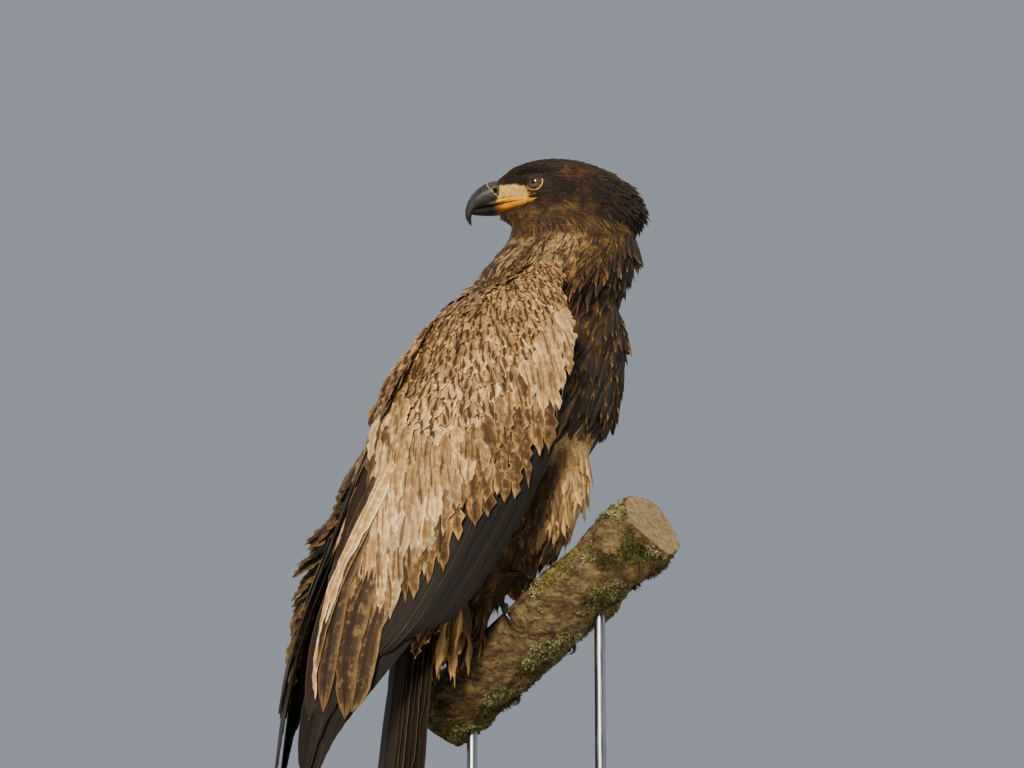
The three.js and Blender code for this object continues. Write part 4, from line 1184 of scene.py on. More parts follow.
def covertColours(s, q, blotch=0.0):
    s, q = np.asarray(s, float), np.asarray(q, float)
    # back, and the shade share below, darken the coverts along their back edge: painted shade of the gap and far wing
    # behind them
    back = ease(0.16, 0.02, q)
    brownFront = ease(0.6, 0.7, q) * ease(0.3, 0.37, s)
    paleFront = np.exp(-(((s - 0.2) / 0.07) ** 2) - (((q - 0.93) / 0.1) ** 2))
    white = np.exp(-(((s - 0.53) / 0.12) ** 2) - (((q - 0.42) / 0.26) ** 2))
    rest = (1 - brownFront) * (1 - back * 0.6)
    shares = {
        "lesser": (1 - ease(0.16, 0.34, s)) * rest + 0.001,
        "median": ease(0.16, 0.34, s) * (1 - ease(0.4, 0.52, s)) * rest,
        "greater": ease(0.4, 0.52, s) * rest,
        "white": (white * 1.2 + paleFront * 1.1) * rest,
        # the brown front edge and the blotches are the feathers' own colour; the back term is painted shade
        "edge": brownFront * 1.3 + back * 0.7 + ease(0.05, 0.35, blotch) * ease(0.42, 0.3, s),
        "scapular": 5 * np.exp(-(((s - 0.2 + 1.2 * (q - 0.22)) / 0.032) ** 2) - (((q - 0.25) / 0.075) ** 2)),
        "shade": ease(0.11, 0.03, q) * ease(0.28, 0.4, s) * 3,
    }
    return plumage(shares)


def wingStep(wing, s, q, length):  # the change of s and q from a feather's root to its tip, as it hangs
    a = wing.bare(s, q)
    along = (wing.bare(s + 0.01, q) - a) / 0.01
    across = (wing.bare(s, q + 0.02) - a) / 0.02
    hang = np.array([0.34 - 0.3 * float(ease(0.1, 0.6, s)), 0, -1.0])
    facing = unit(np.cross(along, across))
    hang = unit(hang - facing * (hang @ facing)) * length
    return np.linalg.lstsq(np.stack([along, across], 1), hang, rcond=None)[0]


def covertRows(wing, name, seed):
    v = Vanes(name, seed, columns=8, rows=12)
    for row, made in enumerate(covertRowSettings):
        for i in range(made["count"]):
            q1 = 0.015 + 0.97 * (i + 0.5 * (row % 2)) / (made["count"] - 0.5)
            s1 = float(edgeOfCoverts(q1)) - made["inset"] + v.random.uniform(-0.014, 0.014)
            ds, dq = wingStep(wing, s1, q1, made["length"] * v.random.uniform(0.85, 1.15))
            dq = dq * v.random.uniform(0.55, 1.05)
            s, q = s1 - ds * (1 - v.t), np.clip(q1 - dq * (1 - v.t), -0.02, 1.02)
            h = 2.2 * np.sin(math.pi * v.t) - made["deep"] - 3.5 * (1 - v.t) - 6 * (1 - ease(0.0, 0.24, q))
            nearS, nearQ = s1 + v.random.normal(0, 0.025), q1 + v.random.normal(0, 0.04)
            # near the back edge a row's own tint gives way to the placed colours and their painted shade; near the
            # front it gives way to the brown front edge
            own = 0.75 * (1 - ease(0.56, 0.7, nearQ)) * (1 - ease(0.16, 0.04, nearQ))
            placed = covertColours([nearS], [nearQ])
            tint = [blend(a[0], paint(b), own) for a, b in zip(placed, tints[made["tint"]])]
            roll, streak = v.random.uniform(-6, 6), v.random.uniform(0.15, 0.95)
            v.add(
                wing.point(s, q, h), wing.normal(s, q), made["width"] * v.random.uniform(0.8, 1.2), tint,
                shoulder=0.55, point=2.0, roll=roll - 6 * wing.side, splits=8, deep=1.9, fray=0.8,
                streak=streak, rib=0.3, base=0.5,
            )
    v.build(longFeather, "pale_plumage")


def wingArm(wing, name):  # the arm under the coverts, thin at its edges
    thick = profile([(0, 20), (0.1, 44), (0.3, 46), (0.45, 28), (0.6, 8), (0.68, 2)])
    sunk = profile([(0, 2), (0.12, 1), (0.3, 5), (0.45, 11), (0.6, 17), (0.72, 19)])
    rows, q = 34, np.linspace(0.02, 0.98, 19)
    rim = 2.5 * ((q < 0.03) | (q > 0.97)) + 8 * (1 - ease(0.0, 0.24, q))
    rings = []
    for s in np.linspace(0.012, 0.67, rows + 1):
        deep = thick(s) * blend(0.3, 1, np.sin(math.pi / 2 * np.minimum(1, q * 1.6)))
        outer, inner = wing.point(s, q, -sunk(s) - 4 - rim), wing.point(s, q, -sunk(s) - 8 - deep - rim)
        rings.append(np.vstack([outer, inner[::-1]]))
    n = len(rings[0])
    faces = tubeFaces(rows, n).tolist() + [range(n)[::-1], range(rows * n, rows * n + n)]
    finish = grainedFinish(name + "Finish", "4b3623", "8d6c47", 300.0, (0.3, 0.7), 0.85, (0.001, 0.7))
    return settle(facedOut(meshObject(name, toFrame(np.vstack(rings)), faces, finish)), "dark_plumage")


armCoat = {"form": "scale", "Spacing": 0.0046, "Width": 0.6, "Lift": 0.075, "Unrest": 0.22}
wallCoat = {"form": "scale", "Spacing": 0.0062, "Width": 0.5, "Lift": 0.12, "Unrest": 0.2}


def smallCoverts(wing, name, seed):
    rows, columns, wrap = 60, 50, (-0.12, 1.01)
    share, q = np.meshgrid(np.linspace(0.0, 1.0, rows + 1), np.linspace(*wrap, columns + 1), indexing="ij")
    share, q = share.ravel(), q.ravel()
    s = share * (edgeOfCoverts(q) - 0.215)
    sunk = profile([(0, 3), (0.12, 3), (0.3, 5), (0.45, 7), (0.7, 10)])
    edgeSink = 7 * (1 - ease(0.0, 0.24, q)) + 9 * ease(0.92, 1.01, q)
    points, normals = wing.point(s, q, -sunk(s) - 1 - edgeSink), wing.normal(s, q)
    along = wing.bare(np.minimum(s + 0.02, 1), q) - wing.bare(np.maximum(s - 0.02, 0), q)
    hang = np.stack([0.4 - 0.3 * ease(0.1, 0.5, s), np.zeros(len(s)), -np.ones(len(s))], 1)
    faces = gridFaces(rows, columns)
    faces = turnedOut(points, faces, normals[faces[:, 0]])
    uv = np.stack([(q - wrap[0]) / (wrap[1] - wrap[0]), share], 1) * 0.96 + 0.02
    ground = {
        "points": toFrame(points), "faces": faces, "uv": uv[faces],
        "flow": alongSurface(unit(unit(along) * 0.15 + unit(hang)), normals),
        "size": blend(16, 28, ease(0.05, 0.45, s)), "streak": 1.0,
        "colours": covertColours(s, q, cloud(points, 0.05, 9.0)),
    }
    coatOver(name, ground, armCoat, seed, covertFeather, "pale_plumage")


def coatWall(arm, name, seed):  # the front edge of the arm, down to the breast
    points, normals = pointsOf(arm.data), normalsOf(arm.data)
    faces = np.array([p.vertices[:] for p in arm.data.polygons if len(p.vertices) == 4])
    used, faces = cutOut(faces[unit(normals[faces].mean(1))[:, 0] > 0.15])
    points, normals = points[used], normals[used]
    b, ones = toBody(points), np.ones(len(points))
    uv = (b[:, 1:] - b[:, 1:].min(0)) / np.ptp(b[:, 1:], axis=0) * 0.96 + 0.02
    ground = {
        "points": points, "faces": faces, "uv": uv[faces], "size": 24, "streak": 1.0,
        "flow": alongSurface(unit(np.array([[-0.3, 0, -1.0]])), normals),
        "colours": plumage({"edge": ones, "lesser": ones * ease(60, 110, b[:, 2])}),
    }
    coatOver(name, ground, wallCoat, seed, covertFeather, "dark_plumage")


for n, (wing, label) in enumerate(wings):
    coatWall(wingArm(wing, label + "Arm"), label + "FrontCoat", 35 + n)
    covertRows(wing, label + "Coverts", 31 + n)
    smallCoverts(wing, label + "SmallCoverts", 33 + n)

# Tail: twelve long feathers that overlap from the middle pair outwards, with soft coverts over their roots
tailShape = {"count": 12, "length": 285, "root": (-124, 0, -212), "halfWidth": 26, "layer": 1.8, "lean": 7, "width": 37}
tailCoverts = {"rows": 4, "round": 13, "step": 17, "spread": (26, 30), "length": (62, 88), "width": (22, 30)}
ventTuft = {"count": 60, "root": (-90, -27, -232), "spread": 13, "bow": 8, "length": (48, 112), "width": (7, 13)}


def makeTail():
    root, lean = np.array(tailShape["root"]), math.radians(tailShape["lean"])
    down = np.array([-math.sin(lean), 0, -math.cos(lean)])
    rear = np.array([down[2], 0, -down[0]])
    v = Vanes("tailFeathers", 51)
    for i in range(tailShape["count"]):
        side, rank = 1 - 2 * (i % 2), (i // 2) / (tailShape["count"] / 2 - 1)
        out = side * blend(3, tailShape["halfWidth"], rank) * blend(0.35, 1, v.t)
        path = root + down * (v.t * tailShape["length"] * (1 - 0.05 * rank**2))[:, None]
        path = path + rear * tailShape["layer"] * (5.5 - i) + np.array([0, 1, 0]) * out[:, None]
        v.add(
            path, np.broadcast_to(rear, path.shape), tailShape["width"], quill["tail"], shoulder=0.88, point=2.2,
            shaftAt=-0.3 * side * rank, camber=0.05, splits=3, fray=0.05, rib=0.9,
        )
    v.build(flightFeather, "flight_plumage", "tail")
    v = Vanes("tailCoverts", 52, columns=6, rows=10)
    for row in range(tailCoverts["rows"]):
        for k in range(tailCoverts["round"]):
            a = 2 * math.pi * (k + 0.5 * row) / tailCoverts["round"]
            x, y = math.cos(a), math.sin(a)
            start = root + (x * tailCoverts["spread"][0], y * tailCoverts["spread"][1], 24 - tailCoverts["step"] * row)
            path = start + down * (v.t * v.random.uniform(*tailCoverts["length"]))[:, None]
            path = path - np.array([x, y * 0.3, 0]) * (9 * v.t**2)[:, None]
            v.add(
                path, np.broadcast_to([x, y, 0.0], path.shape), v.random.uniform(*tailCoverts["width"]), tints["breast"],
                shoulder=0.45, point=1.7, camber=0.14, fray=0.4, streak=0.5, rib=0.3,
            )
    v.build(bodyFeather, "dark_plumage")
    v = Vanes("ventTufts", 53, columns=6, rows=12)
    for side in (-1, 1):
        for _ in range(ventTuft["count"]):
            a = v.random.uniform(0, 2 * math.pi)
            reach = np.array([math.cos(a), math.sin(a), 0.0]) * v.random.uniform(0.3, 1.0)
            start = np.array(ventTuft["root"]) * (1, side, 1) + reach * ventTuft["spread"]
            start = start + (0, 0, v.random.uniform(-14, 14))
            sway = v.random.uniform(-0.16, 0.16, 2)
            hang = unit(np.array([sway[0] - 0.1, sway[1] + side * 0.05, -1.0])) * v.random.uniform(*ventTuft["length"])
            path = start + hang * v.t[:, None] + reach * (ventTuft["bow"] * np.sin(math.pi * v.t))[:, None]
            tint = tints[("thigh", "edge", "shank")[v.random.integers(3)]]
            v.add(
                path, np.broadcast_to(unit(reach + 1e-6), path.shape), v.random.uniform(*ventTuft["width"]), tint,
                shoulder=0.5, point=1.7, camber=0.14, splits=14, deep=2.2, fray=1.4, streak=0.3, rib=0.1,
            )
    v.build(bodyFeather, "pale_plumage")


makeTail()


# Bill: dark horn with a pale edge to its cere, and the yellow lip that runs back under the eye
bill = {  # millimetres, but for the voxel: how far the lips swell, and how far the lower tip is moved
    "voxel": 0.0007, "swell": (1.7, 1.2), "tuck": 3.5, "tipForward": 3.6, "tipUp": 1.2, "sideRounds": 40,
}


def billFinish():
    f = Finish("billHorn", 0.42, Coat_Weight=0.06, Coat_Roughness=0.3, Specular_IOR_Level=0.4)
    forward, height = headSpots(f)
    streaks = f.grain(f.place((1, 1, 0.35)), 260.0, 4.0, 0.6)
    broad = f.grain(f.place(), 90.0, 2.0)
    horn = f.mix(f.spread(broad, 0.35, 0.7), "1c1f24", "3a3b35")
    horn = f.mix(f.spread(streaks, 0.45, 0.7, 0.0, 0.35), horn, "4a4a38")
    horn = f.mix(f.spread(height, 0.196, 0.232, 1.0, 0.0), horn, "121314")
    # the cere is a little browner, and ends in a thin pale rim that leans back as it comes down
    past = f.minus(forward, f.spread(height, 0.223, 0.247, 0.0885, 0.1045))
    cere = f.spread(past, -0.0010, 0.0002, 1.0, 0.0)
    horn = f.mix(cere, horn, f.mix(f.spread(broad, 0.4, 0.6), "2e2c1f", "4a462c"))
    horn = f.mix(f.times(cere, f.spread(past, -0.0024, -0.0014), 0.8), horn, "a3935a")
    onLip = f.spread(f.minus(height, lipEdge(f, forward)), -0.0004, 0.0012, 1.0, 0.0)
    lip = f.times(onLip, f.spread(forward, 0.078, 0.1, 1.0, 0.0))
    yellow = f.mix(f.spread(streaks, 0.35, 0.7), "e29a00", "ffc414")
    return f.finish(f.mix(lip, horn, yellow), streaks, 0.0004, 0.35)


def lipFinish():
    f = Finish("lowerBillHorn", 0.7, Specular_IOR_Level=0.15)
    forward, _ = headSpots(f)
    streaks = f.grain(f.place(), 240.0, 4.0, 0.6)
    horn = f.mix(f.spread(streaks, 0.4, 0.7), "17181a", "2b2b26")
    yellow = f.mix(f.spread(streaks, 0.3, 0.7), "b86800", "e89a14")
    yellow = f.mix(f.spread(forward, 0.045, 0.07, 1.0, 0.0), yellow, "c48a36")
    return f.finish(f.mix(f.spread(forward, 0.078, 0.096, 1.0, 0.0), horn, yellow), streaks, 0.0004, 0.35)


def fillLip(mesh, out):  # the soft lip behind the horn swells a little past the face
    p = pointsOf(mesh)
    f, l, z = headPlace(toBody(p))
    swell = out * ease(92, 72, f) * ease(234, 231, z) * ease(8, 14, np.abs(l))
    tuck = bill["tuck"] * ease(92, 84, f) * ease(230, 233, z)  # the root of the horn runs on under the skin
    movePoints(mesh, p + (headLeft * (np.sign(l) * swell)[:, None] - headForward * tuck[:, None]) / 1000)


billTop = smoothCopy(["bill_upper"], "billTop", bill["voxel"], 9)
fillLip(billTop.data, bill["swell"][0])
hornForward, _, hornZ = headPlace(toBody(pointsOf(billTop.data)))
evenOut(billTop.data, ease(204, 216, hornZ) * ease(96, 102, hornForward), bill["sideRounds"])
dress(billTop, billFinish(), "dark_horn", "bill_upper")
billLow = smoothCopy(["bill_lower"], "billLow", bill["voxel"], 4)
fillLip(billLow.data, bill["swell"][1])
lowPoints = pointsOf(billLow.data)
lowTip = ease(98, 114, headPlace(toBody(lowPoints))[0])[:, None] / 1000
movePoints(billLow.data, lowPoints + (headForward * bill["tipForward"] + np.array([0, 0, bill["tipUp"]])) * lowTip)
dress(billLow, lipFinish(), "dark_horn", "bill_lower")


# Eyes: a dark brown iris under a clear cornea, set in a thin yellow rim
eye = {
    "radius": 11.3, "iris": 8.6, "pupil": 3.4, "cornea": 1.0, "forwardLook": 0.35,
    "rim": 0.62, "rimReach": 9.7, "rimFlat": 0.42, "lidReach": 13.5, "browLean": 0.4, "brow": 2.6,
}


def eyeAxes(side):
    outward = unit(headLeft * side + headForward * eye["forwardLook"])
    along = unit(headForward - outward * (headForward @ outward))
    over = np.cross(outward, along)
    return outward, along, over * (1 if over[2] > 0 else -1)


def eyeFinish(side, name):
    f = Finish(name, 0.06, Coat_Weight=1.0, Coat_Roughness=0.02, Specular_IOR_Level=0.6)
    moved = f.vector("SUBTRACT", f.node("TexCoord").outputs["Object"], tuple(toFrame(eyeCentres[side])))
    deep, far = f.vector("DOT_PRODUCT", moved, tuple(eyeAxes(side)[0])), f.vector("LENGTH", moved)
    out = f.math("SQRT", f.math("MAXIMUM", f.minus(f.times(far, far), f.times(deep, deep)), 0.0))
    iris = f.mix(f.spread(f.grain(f.vector("NORMALIZE", moved), 26.0, 3.0), 0.35, 0.65), "2c2015", "55402a")
    colour = f.mix(f.spread(out, eye["pupil"] / 1000, eye["pupil"] / 1000 + 0.0003), "050404", iris)
    return f.finish(f.mix(f.spread(out, eye["iris"] / 1000 - 0.0012, eye["iris"] / 1000), colour, "120c08"))


def lathe(rings, sides):  # turns a list of radius and height into a closed form
    points = [(r * math.cos(a), r * math.sin(a), z) for r, z in rings for a in np.arange(sides) * 2 * math.pi / sides]
    faces = tubeFaces(len(rings) - 1, sides).tolist()
    for ring, turn in ((0, -1), (len(rings) - 1, 1)):
        points.append((0, 0, rings[ring][1]))
        first, c = ring * sides, len(points) - 1
        faces += [(first + k, first + (k + 1) % sides, c)[::turn] for k in range(sides)]
    return np.array(points), faces


def makeEye(side, name):
    outward, along, over = eyeAxes(side)
    r = eye["radius"]
    rings = []
    for i in range(1, 32):
        a = math.pi * i / 32
        bulge = eye["cornea"] * math.exp(-((a / 0.62) ** 4))
        rings.append(((r + bulge) * math.sin(a), (r + bulge) * math.cos(a)))
    points, faces = lathe(rings, 48)
    points[-2:] = (0, 0, r + eye["cornea"]), (0, 0, -r)
    placed = eyeCentres[side] + points[:, :1] * along + points[:, 1:2] * over + points[:, 2:] * outward
    obj = facedOut(meshObject(name, toFrame(placed), faces, eyeFinish(side, name + "Finish")))
    settle(obj, "eye_brown", "eye_left" if side > 0 else "eye_right")


def rimReach(a):  # how far the lids' edge is from the middle of the eye
    high = math.sin(a + eye["browLean"])
    return eye["rimReach"] * (1 - eye["rimFlat"] * max(0.0, high) ** 1.5 - 0.08 * max(0.0, -high) ** 2)


def makeLid(side, name, material):  # the skin under the brow that covers the top of the eye, dark with painted shadow of the brow
    outward, along, over = eyeAxes(side)
    points = []
    columns, rows = 40, 6
    shell = eye["radius"] + 0.75
    for i in range(columns + 1):
        a = math.pi * i / columns - eye["browLean"]
        high = math.sin(math.pi * i / columns)
        for k in range(rows + 1):
            reach = rimReach(a) - 0.8 * high + (eye["lidReach"] - rimReach(a)) * k / rows
            lift = math.sqrt(max(shell**2 - min(reach, shell * 0.93) ** 2, 0))
            lift += high * eye["brow"] * (0.35 + 0.65 * k / rows)
            points.append(eyeCentres[side] + (along * math.cos(a) + over * math.sin(a)) * reach + outward * lift)
    lid = meshObject(name, toFrame(points), gridFaces(columns, rows), material)
    wall = lid.modifiers.new("wall", "SOLIDIFY")
    wall.thickness = 0.0006
    wall.offset = 0
    settle(facedOut(finishedCopy(lid, name)), "dark_plumage")


def makeRim(side, name, material):  # the thin yellow edge of the lids
    outward, along, over = eyeAxes(side)
    points = []
    rings, sides = 72, 10
    for i in range(rings):
        a = 2 * math.pi * i / rings
        reach = rimReach(a)
        lift = math.sqrt(max(eye["radius"] ** 2 - reach**2, 0)) + 0.5
        radial = along * math.cos(a) + over * math.sin(a)
        centre = eyeCentres[side] + radial * reach + outward * lift
        covered = float(ease(0.1, 0.7, math.sin(a + eye["browLean"])))
        thick = eye["rim"] * (1.25 - 0.9 * covered) * (1 + 0.12 * math.sin(9 * a))
        for k in range(sides):
            b = 2 * math.pi * k / sides
            points.append(centre + radial * math.cos(b) * thick * 1.2 + outward * math.sin(b) * thick * 1.1)
    faces = tubeFaces(rings, sides) % (rings * sides)
    settle(facedOut(meshObject(name, toFrame(points), faces, material)), "yellow_skin")


eyelid = dict(scale=500.0, steps=(0.35, 0.65), bump=(0.0004, 0.5), Subsurface_Weight=0.08, Subsurface_Scale=0.002)
# the lid's dark colour is painted shadow of the brow
lidShadow = grainedFinish("lidShadow", "15100b", "2e2216", roughness=0.7, **eyelid)
rimYellow = grainedFinish("lidYellow", "9c7a22", "cdab48", roughness=0.5, **eyelid)
for side, label in ((1, "Left"), (-1, "Right")):
    makeEye(side, "eye" + label)
    makeRim(side, "eyeRim" + label, rimYellow)
    makeLid(side, "eyeLid" + label, lidShadow)
print("head: bill and eyes")

# Feet: yellow skin with cross scales over the toes
branch = {"radius": 41.0, "low": -118.0, "high": 236.0, "heading": -70.0, "rise": 34.7, "perch": (-24.0, 0.0, -278.0)}
heading, rise = math.radians(branch["heading"]), math.radians(branch["rise"])
branchAlong = np.array([math.cos(heading) * math.cos(rise), math.sin(heading) * math.cos(rise), math.sin(rise)])
branchTop = unit(np.array([0, 0, 1.0]) - branchAlong * branchAlong[2])
branchFront = np.cross(branchTop, branchAlong)
branchMiddle = np.array(branch["perch"]) - branchTop * branch["radius"]


def branchPlace(b):  # travel along the branch, angle round it from the top, distance from its axis
    rel = b - branchMiddle
    w = rel @ branchAlong
    up, front = rel @ branchTop, rel @ branchFront
    return w, np.arctan2(front, up), np.hypot(up, front)


foot = {"voxel": 0.0009, "rounds": 4, "scale": 4.4, "shankScale": 5.0, "relief": 0.9}


def footFinish():
    f = Finish("footSkin", 0.45, Subsurface_Weight=0.05, Subsurface_Scale=0.002)
    fine = f.grain(f.place(), 320.0, 4.0, 0.6)
    colour = f.mix(f.spread(fine, 0.35, 0.7), "c99226", "e6bb4d")
    colour = f.mix(f.spread(f.value("crease"), 0.25, 0.8, 0.75, 0.0), colour, "7a5216")
    return f.finish(colour, fine, 0.0004, 0.5)


def crossScales(travel, length):
    return np.abs(np.sin(travel * math.pi / length)) ** 0.6


footSkin = footFinish()
for side in ("left", "right"):
    toes = smoothCopy(["foot_" + side], "foot" + side.capitalize(), foot["voxel"], foot["rounds"])
    p, n = pointsOf(toes.data), normalsOf(toes.data)
    w, angle, reach = branchPlace(toBody(p))
    outer = ease(-0.2, 0.6, np.sum(n * unit(toBody(p) - branchMiddle - (w[:, None] * branchAlong)), 1))
    shank = ease(12, 20, reach - branch["radius"] - 12)
    wave = blend(crossScales(angle * 50, foot["scale"]), crossScales(reach, foot["shankScale"]), shank)
    movePoints(toes.data, p + n * ((wave - 0.75) * foot["relief"] * outer)[:, None] / 1000)
    setValues(toes.data, "crease", "FLOAT", blend(0.9, wave, outer))
    dress(toes, footSkin, "yellow_skin", "foot_" + side)

clawHorn = grainedFinish(
    "clawHorn", "0e0d0d", "2c2926", 300.0, (0.35, 0.75), 0.28, (0.0003, 0.3), 4.0, 0.6,
    Coat_Weight=0.4, Coat_Roughness=0.15,
)
for side in ("left", "right"):
    names = [f"claw_{side}_{k}" for k in range(1, 5)]
    dress(smoothCopy(names, "claws" + side.capitalize(), 0.0006, 3), clawHorn, "black_horn", *names)
print("feet: skin and claws")


# Bough: a rough barked length with sawn ends, lichen and moss
def roundBranch(w, angle, radius):
    w, angle, radius = (np.asarray(x, float)[..., None] for x in (w, angle, radius))
    return branchMiddle + branchAlong * w + branchTop * np.cos(angle) * radius + branchFront * np.sin(angle) * radius


def barkRadius(w, angle):
    quiet = np.clip((np.abs(w) - 75) / 30, 0, 1)  # 0 under the feet
    knots = quiet * (1.8 * np.sin(3 * angle + w * 0.05) + 1.4 * np.sin(5 * angle - w * 0.09) + 1.1 * np.sin(w * 0.07))
    spots = np.stack([w * 0.6, np.cos(angle) * 41, np.sin(angle) * 41], 1)
    rough = cloud(spots, 0.07, 3.0) * 1.1 + cloud(spots, 0.2, 5.0) * 0.9
    rough = rough + cloud(spots * np.array([0.5, 1, 1]), 0.5, 8.0) * 0.6
    cracks = 1 - np.abs(cloud(spots * np.array([0.35, 1, 1]), 0.16, 12.0)) * 5
    rough = rough - 1.5 * np.clip(cracks, 0, 1) ** 2
    return branch["radius"] + knots - 0.9 + rough * blend(0.45, 1.0, quiet) - 0.5 * (1 - quiet)


def barkFinish():
    f = Finish("barkFinish", 0.92, Specular_IOR_Level=0.15)
    spot, turned = f.place(), f.place(turn=(0, -rise, -heading))
    long = f.grain(f.vector("MULTIPLY", turned, (0.35, 1.0, 1.0)), 120.0, 5.0, 0.65)
    fine = f.grain(spot, 520.0, 4.0, 0.7)
    colour = f.steps(long, (0.3, "33291b"), (0.48, "5e4e35"), (0.6, "7c6b49"), (0.78, "9c8b5e"))
    grey = f.spread(f.grain(spot, 60.0, 5.0, 0.7), 0.53, 0.66, 0.0, 0.5)
    colour = f.mix(grey, colour, f.mix(f.spread(fine, 0.35, 0.65), "76704c", "9a9468"))
    green = f.spread(f.grain(f.place(shift=(3, 1, 2)), 50.0, 5.0, 0.66), 0.56, 0.68, 0.0, 0.5)
    colour = f.mix(green, colour, f.mix(f.spread(fine, 0.4, 0.6), "66623a", "8d8756"))
    # the sawn ends with their year rings
    sawn = f.value("sawn")
    wood = f.steps(f.grain(spot, 160.0, 3.0), (0.3, "86704c"), (0.5, "a08a62"), (0.7, "b7a37a"))
    colour = f.mix(sawn, colour, wood)
    out = f.node("CombineXYZ", {0: f.value("ringOut")}).outputs[0]
    rings = f.node("TexWave", {"Vector": out, "Scale": 105.0, "Distortion": 1.5, "Detail": 2.0}, wave_type="BANDS")
    colour = f.mix(f.times(sawn, rings.outputs["Fac"], 0.35), colour, "655237")
    # plates with dark cracks between them
    warp = f.node("TexNoise", {"Vector": spot, "Scale": 90.0, "Detail": 3.0}).outputs["Color"]
    plates = f.vector("MULTIPLY", f.vector("MULTIPLY_ADD", warp, (0.014, 0.014, 0.014), turned), (0.5, 1.0, 1.0))
    gap = f.node("TexVoronoi", {"Vector": plates, "Scale": 95.0}, feature="DISTANCE_TO_EDGE").outputs["Distance"]
    bare = f.times(f.minus(1.0, sawn), f.spread(f.grain(spot, 26.0, 2.0), 0.4, 0.62, 0.15, 1.0))
    crack = f.times(f.spread(gap, 0.0, 0.16, 1.0, 0.0), bare)
    colour = f.mix(f.times(crack, 0.55), colour, "241b11")
    height = f.minus(f.math("ADD", f.times(long, 0.8), f.times(fine, 0.4)), f.times(crack, 0.5))
    return f.finish(colour, height, 0.0022, 0.9)


def makeBranch():
    rows, sides = 250, 150
    w = np.linspace(branch["low"], branch["high"], rows + 1)
    angle = np.arange(sides) * 2 * math.pi / sides
    ww, aa = (x.ravel() for x in np.meshgrid(w, angle, indexing="ij"))
    radius = barkRadius(ww, aa)
    points, out = [roundBranch(ww, aa, radius)], [radius / 1000]
    faces, count = tubeFaces(rows, sides).tolist(), len(ww)
    after = (np.arange(sides) + 1) % sides
    for row, turn in ((0, 1), (rows, -1)):
        previous = edge = np.arange(sides) + row * sides
        for share in (0.985, 0.9, 0.75, 0.6, 0.45, 0.3, 0.15, 0.0):
            inset = 0.25 * np.sin(share * 40) * turn + (0.5 if share < 0.98 else 0.0) * turn
            n = sides if share else 1  # the last is the one point in the middle
            reach = radius[edge][:n] * share
            points.append(roundBranch(np.full(n, w[row] + inset), angle[:n], reach))
            out.append(reach / 1000)
            if share:
                ring = np.arange(sides) + count
                faces += np.stack([previous, previous[after], ring[after], ring], 1)[:, ::-turn].tolist()
                previous = ring
            else:
                faces += [(a, b, count)[::-turn] for a, b in zip(previous, previous[after])]
            count += n
    obj = facedOut(meshObject("bough", toFrame(np.vstack(points)), faces, barkFinish()))
    setValues(obj.data, "sawn", "FLOAT", np.arange(count) >= len(ww))
    setValues(obj.data, "ringOut", "FLOAT", np.concatenate(out))
    settle(obj, "bark", "perch")


makeBranch()


def lichenForm(name, seed):  # a crinkled, lobed crust that stands on its edge in places
    draw = np.random.default_rng(seed)
    lobes, points, faces = 5, [(0, 0, 0.12)], []
    for k in range(lobes):
        a = 2 * math.pi * (k + draw.uniform(-0.25, 0.25)) / lobes
        reach = draw.uniform(0.6, 1.0)
        n = len(points)
        for turn, far, high in ((-0.45, 0.45, 0.14), (0.45, 0.45, 0.2), (-0.5, 1.0, 0.4), (0.0, 1.12, 0.22), (0.5, 0.95, 0.5)):
            far *= reach
            points.append((math.cos(a + turn) * far, math.sin(a + turn) * far, high * draw.uniform(0.3, 1.6)))
        faces += [(0, n, n + 1), (n, n + 2, n + 3), (n, n + 3, n + 1), (n + 1, n + 3, n + 4)]
    return repeatedForm(name, points, faces, [(0.5 + x / 2.4, 0.5 + y / 2.4) for x, y, z in points])


def mossForm(name, seed):  # a little tuft of bent threads
    draw = np.random.default_rng(seed)
    points, faces, uv = [], [], []
    for _ in range(9):
        a = draw.uniform(0, 2 * math.pi)
        lean = draw.uniform(0.15, 0.9)
        away = np.array([math.cos(a), math.sin(a), 0])
        side = np.array([-math.sin(a), math.cos(a), 0]) * 0.09
        start = away * draw.uniform(0, 0.25)
        n = len(points)
        for t in (0.0, 0.5, 1.0):
            spot = start + away * lean * t + np.array([0, 0, t * draw.uniform(0.7, 1.1) - 0.35 * t * t])
            thin = side * (1 - t * 0.85)
            points += [tuple(spot - thin), tuple(spot + thin)]
            uv += [(0, t), (1, t)]
        faces += [(n, n + 1, n + 3, n + 2), (n + 2, n + 3, n + 5, n + 4)]
    return repeatedForm(name, points, faces, uv)


addForms("lichen", lichenForm, 70)
addForms("moss", mossForm, 70)


def growthFinish(name, low, high, dark):
    f = Finish(name, 0.9, Specular_IOR_Level=0.15)
    fine = f.grain(f.place(), 600.0, 3.0)
    colour = f.mix(f.spread(f.grain(f.place(), 55.0, 3.0), 0.4, 0.62), low, high)
    colour = f.mix(f.spread(fine, 0.45, 0.7, 0.7, 0.0), colour, dark)
    return f.finish(f.shade(colour, f.spread(f.value("tone"), 0.0, 1.0, 0.75, 1.2)), fine, 0.0008, 0.6)


growths = {  # noise: its scale, its seed, and how much of it stays bare
    "lichenPale": {
        "form": "lichen", "size": 5.2, "Spacing": 0.0042, "noise": (0.03, 20.0, 0.24),
        "colours": ("8d8c62", "b9b582", "4e4c30"),
    },
    "lichenYellow": {
        "form": "lichen", "size": 4.2, "Spacing": 0.0038, "noise": (0.034, 31.0, 0.2),
        "colours": ("8b8442", "b3aa60", "4a4524"),
    },
    "mossTufts": {
        "form": "moss", "size": 7.5, "Spacing": 0.0036, "noise": (0.026, 44.0, 0.3),
        "colours": ("5b5a30", "86824a", "2f2f1a"),
    },
}


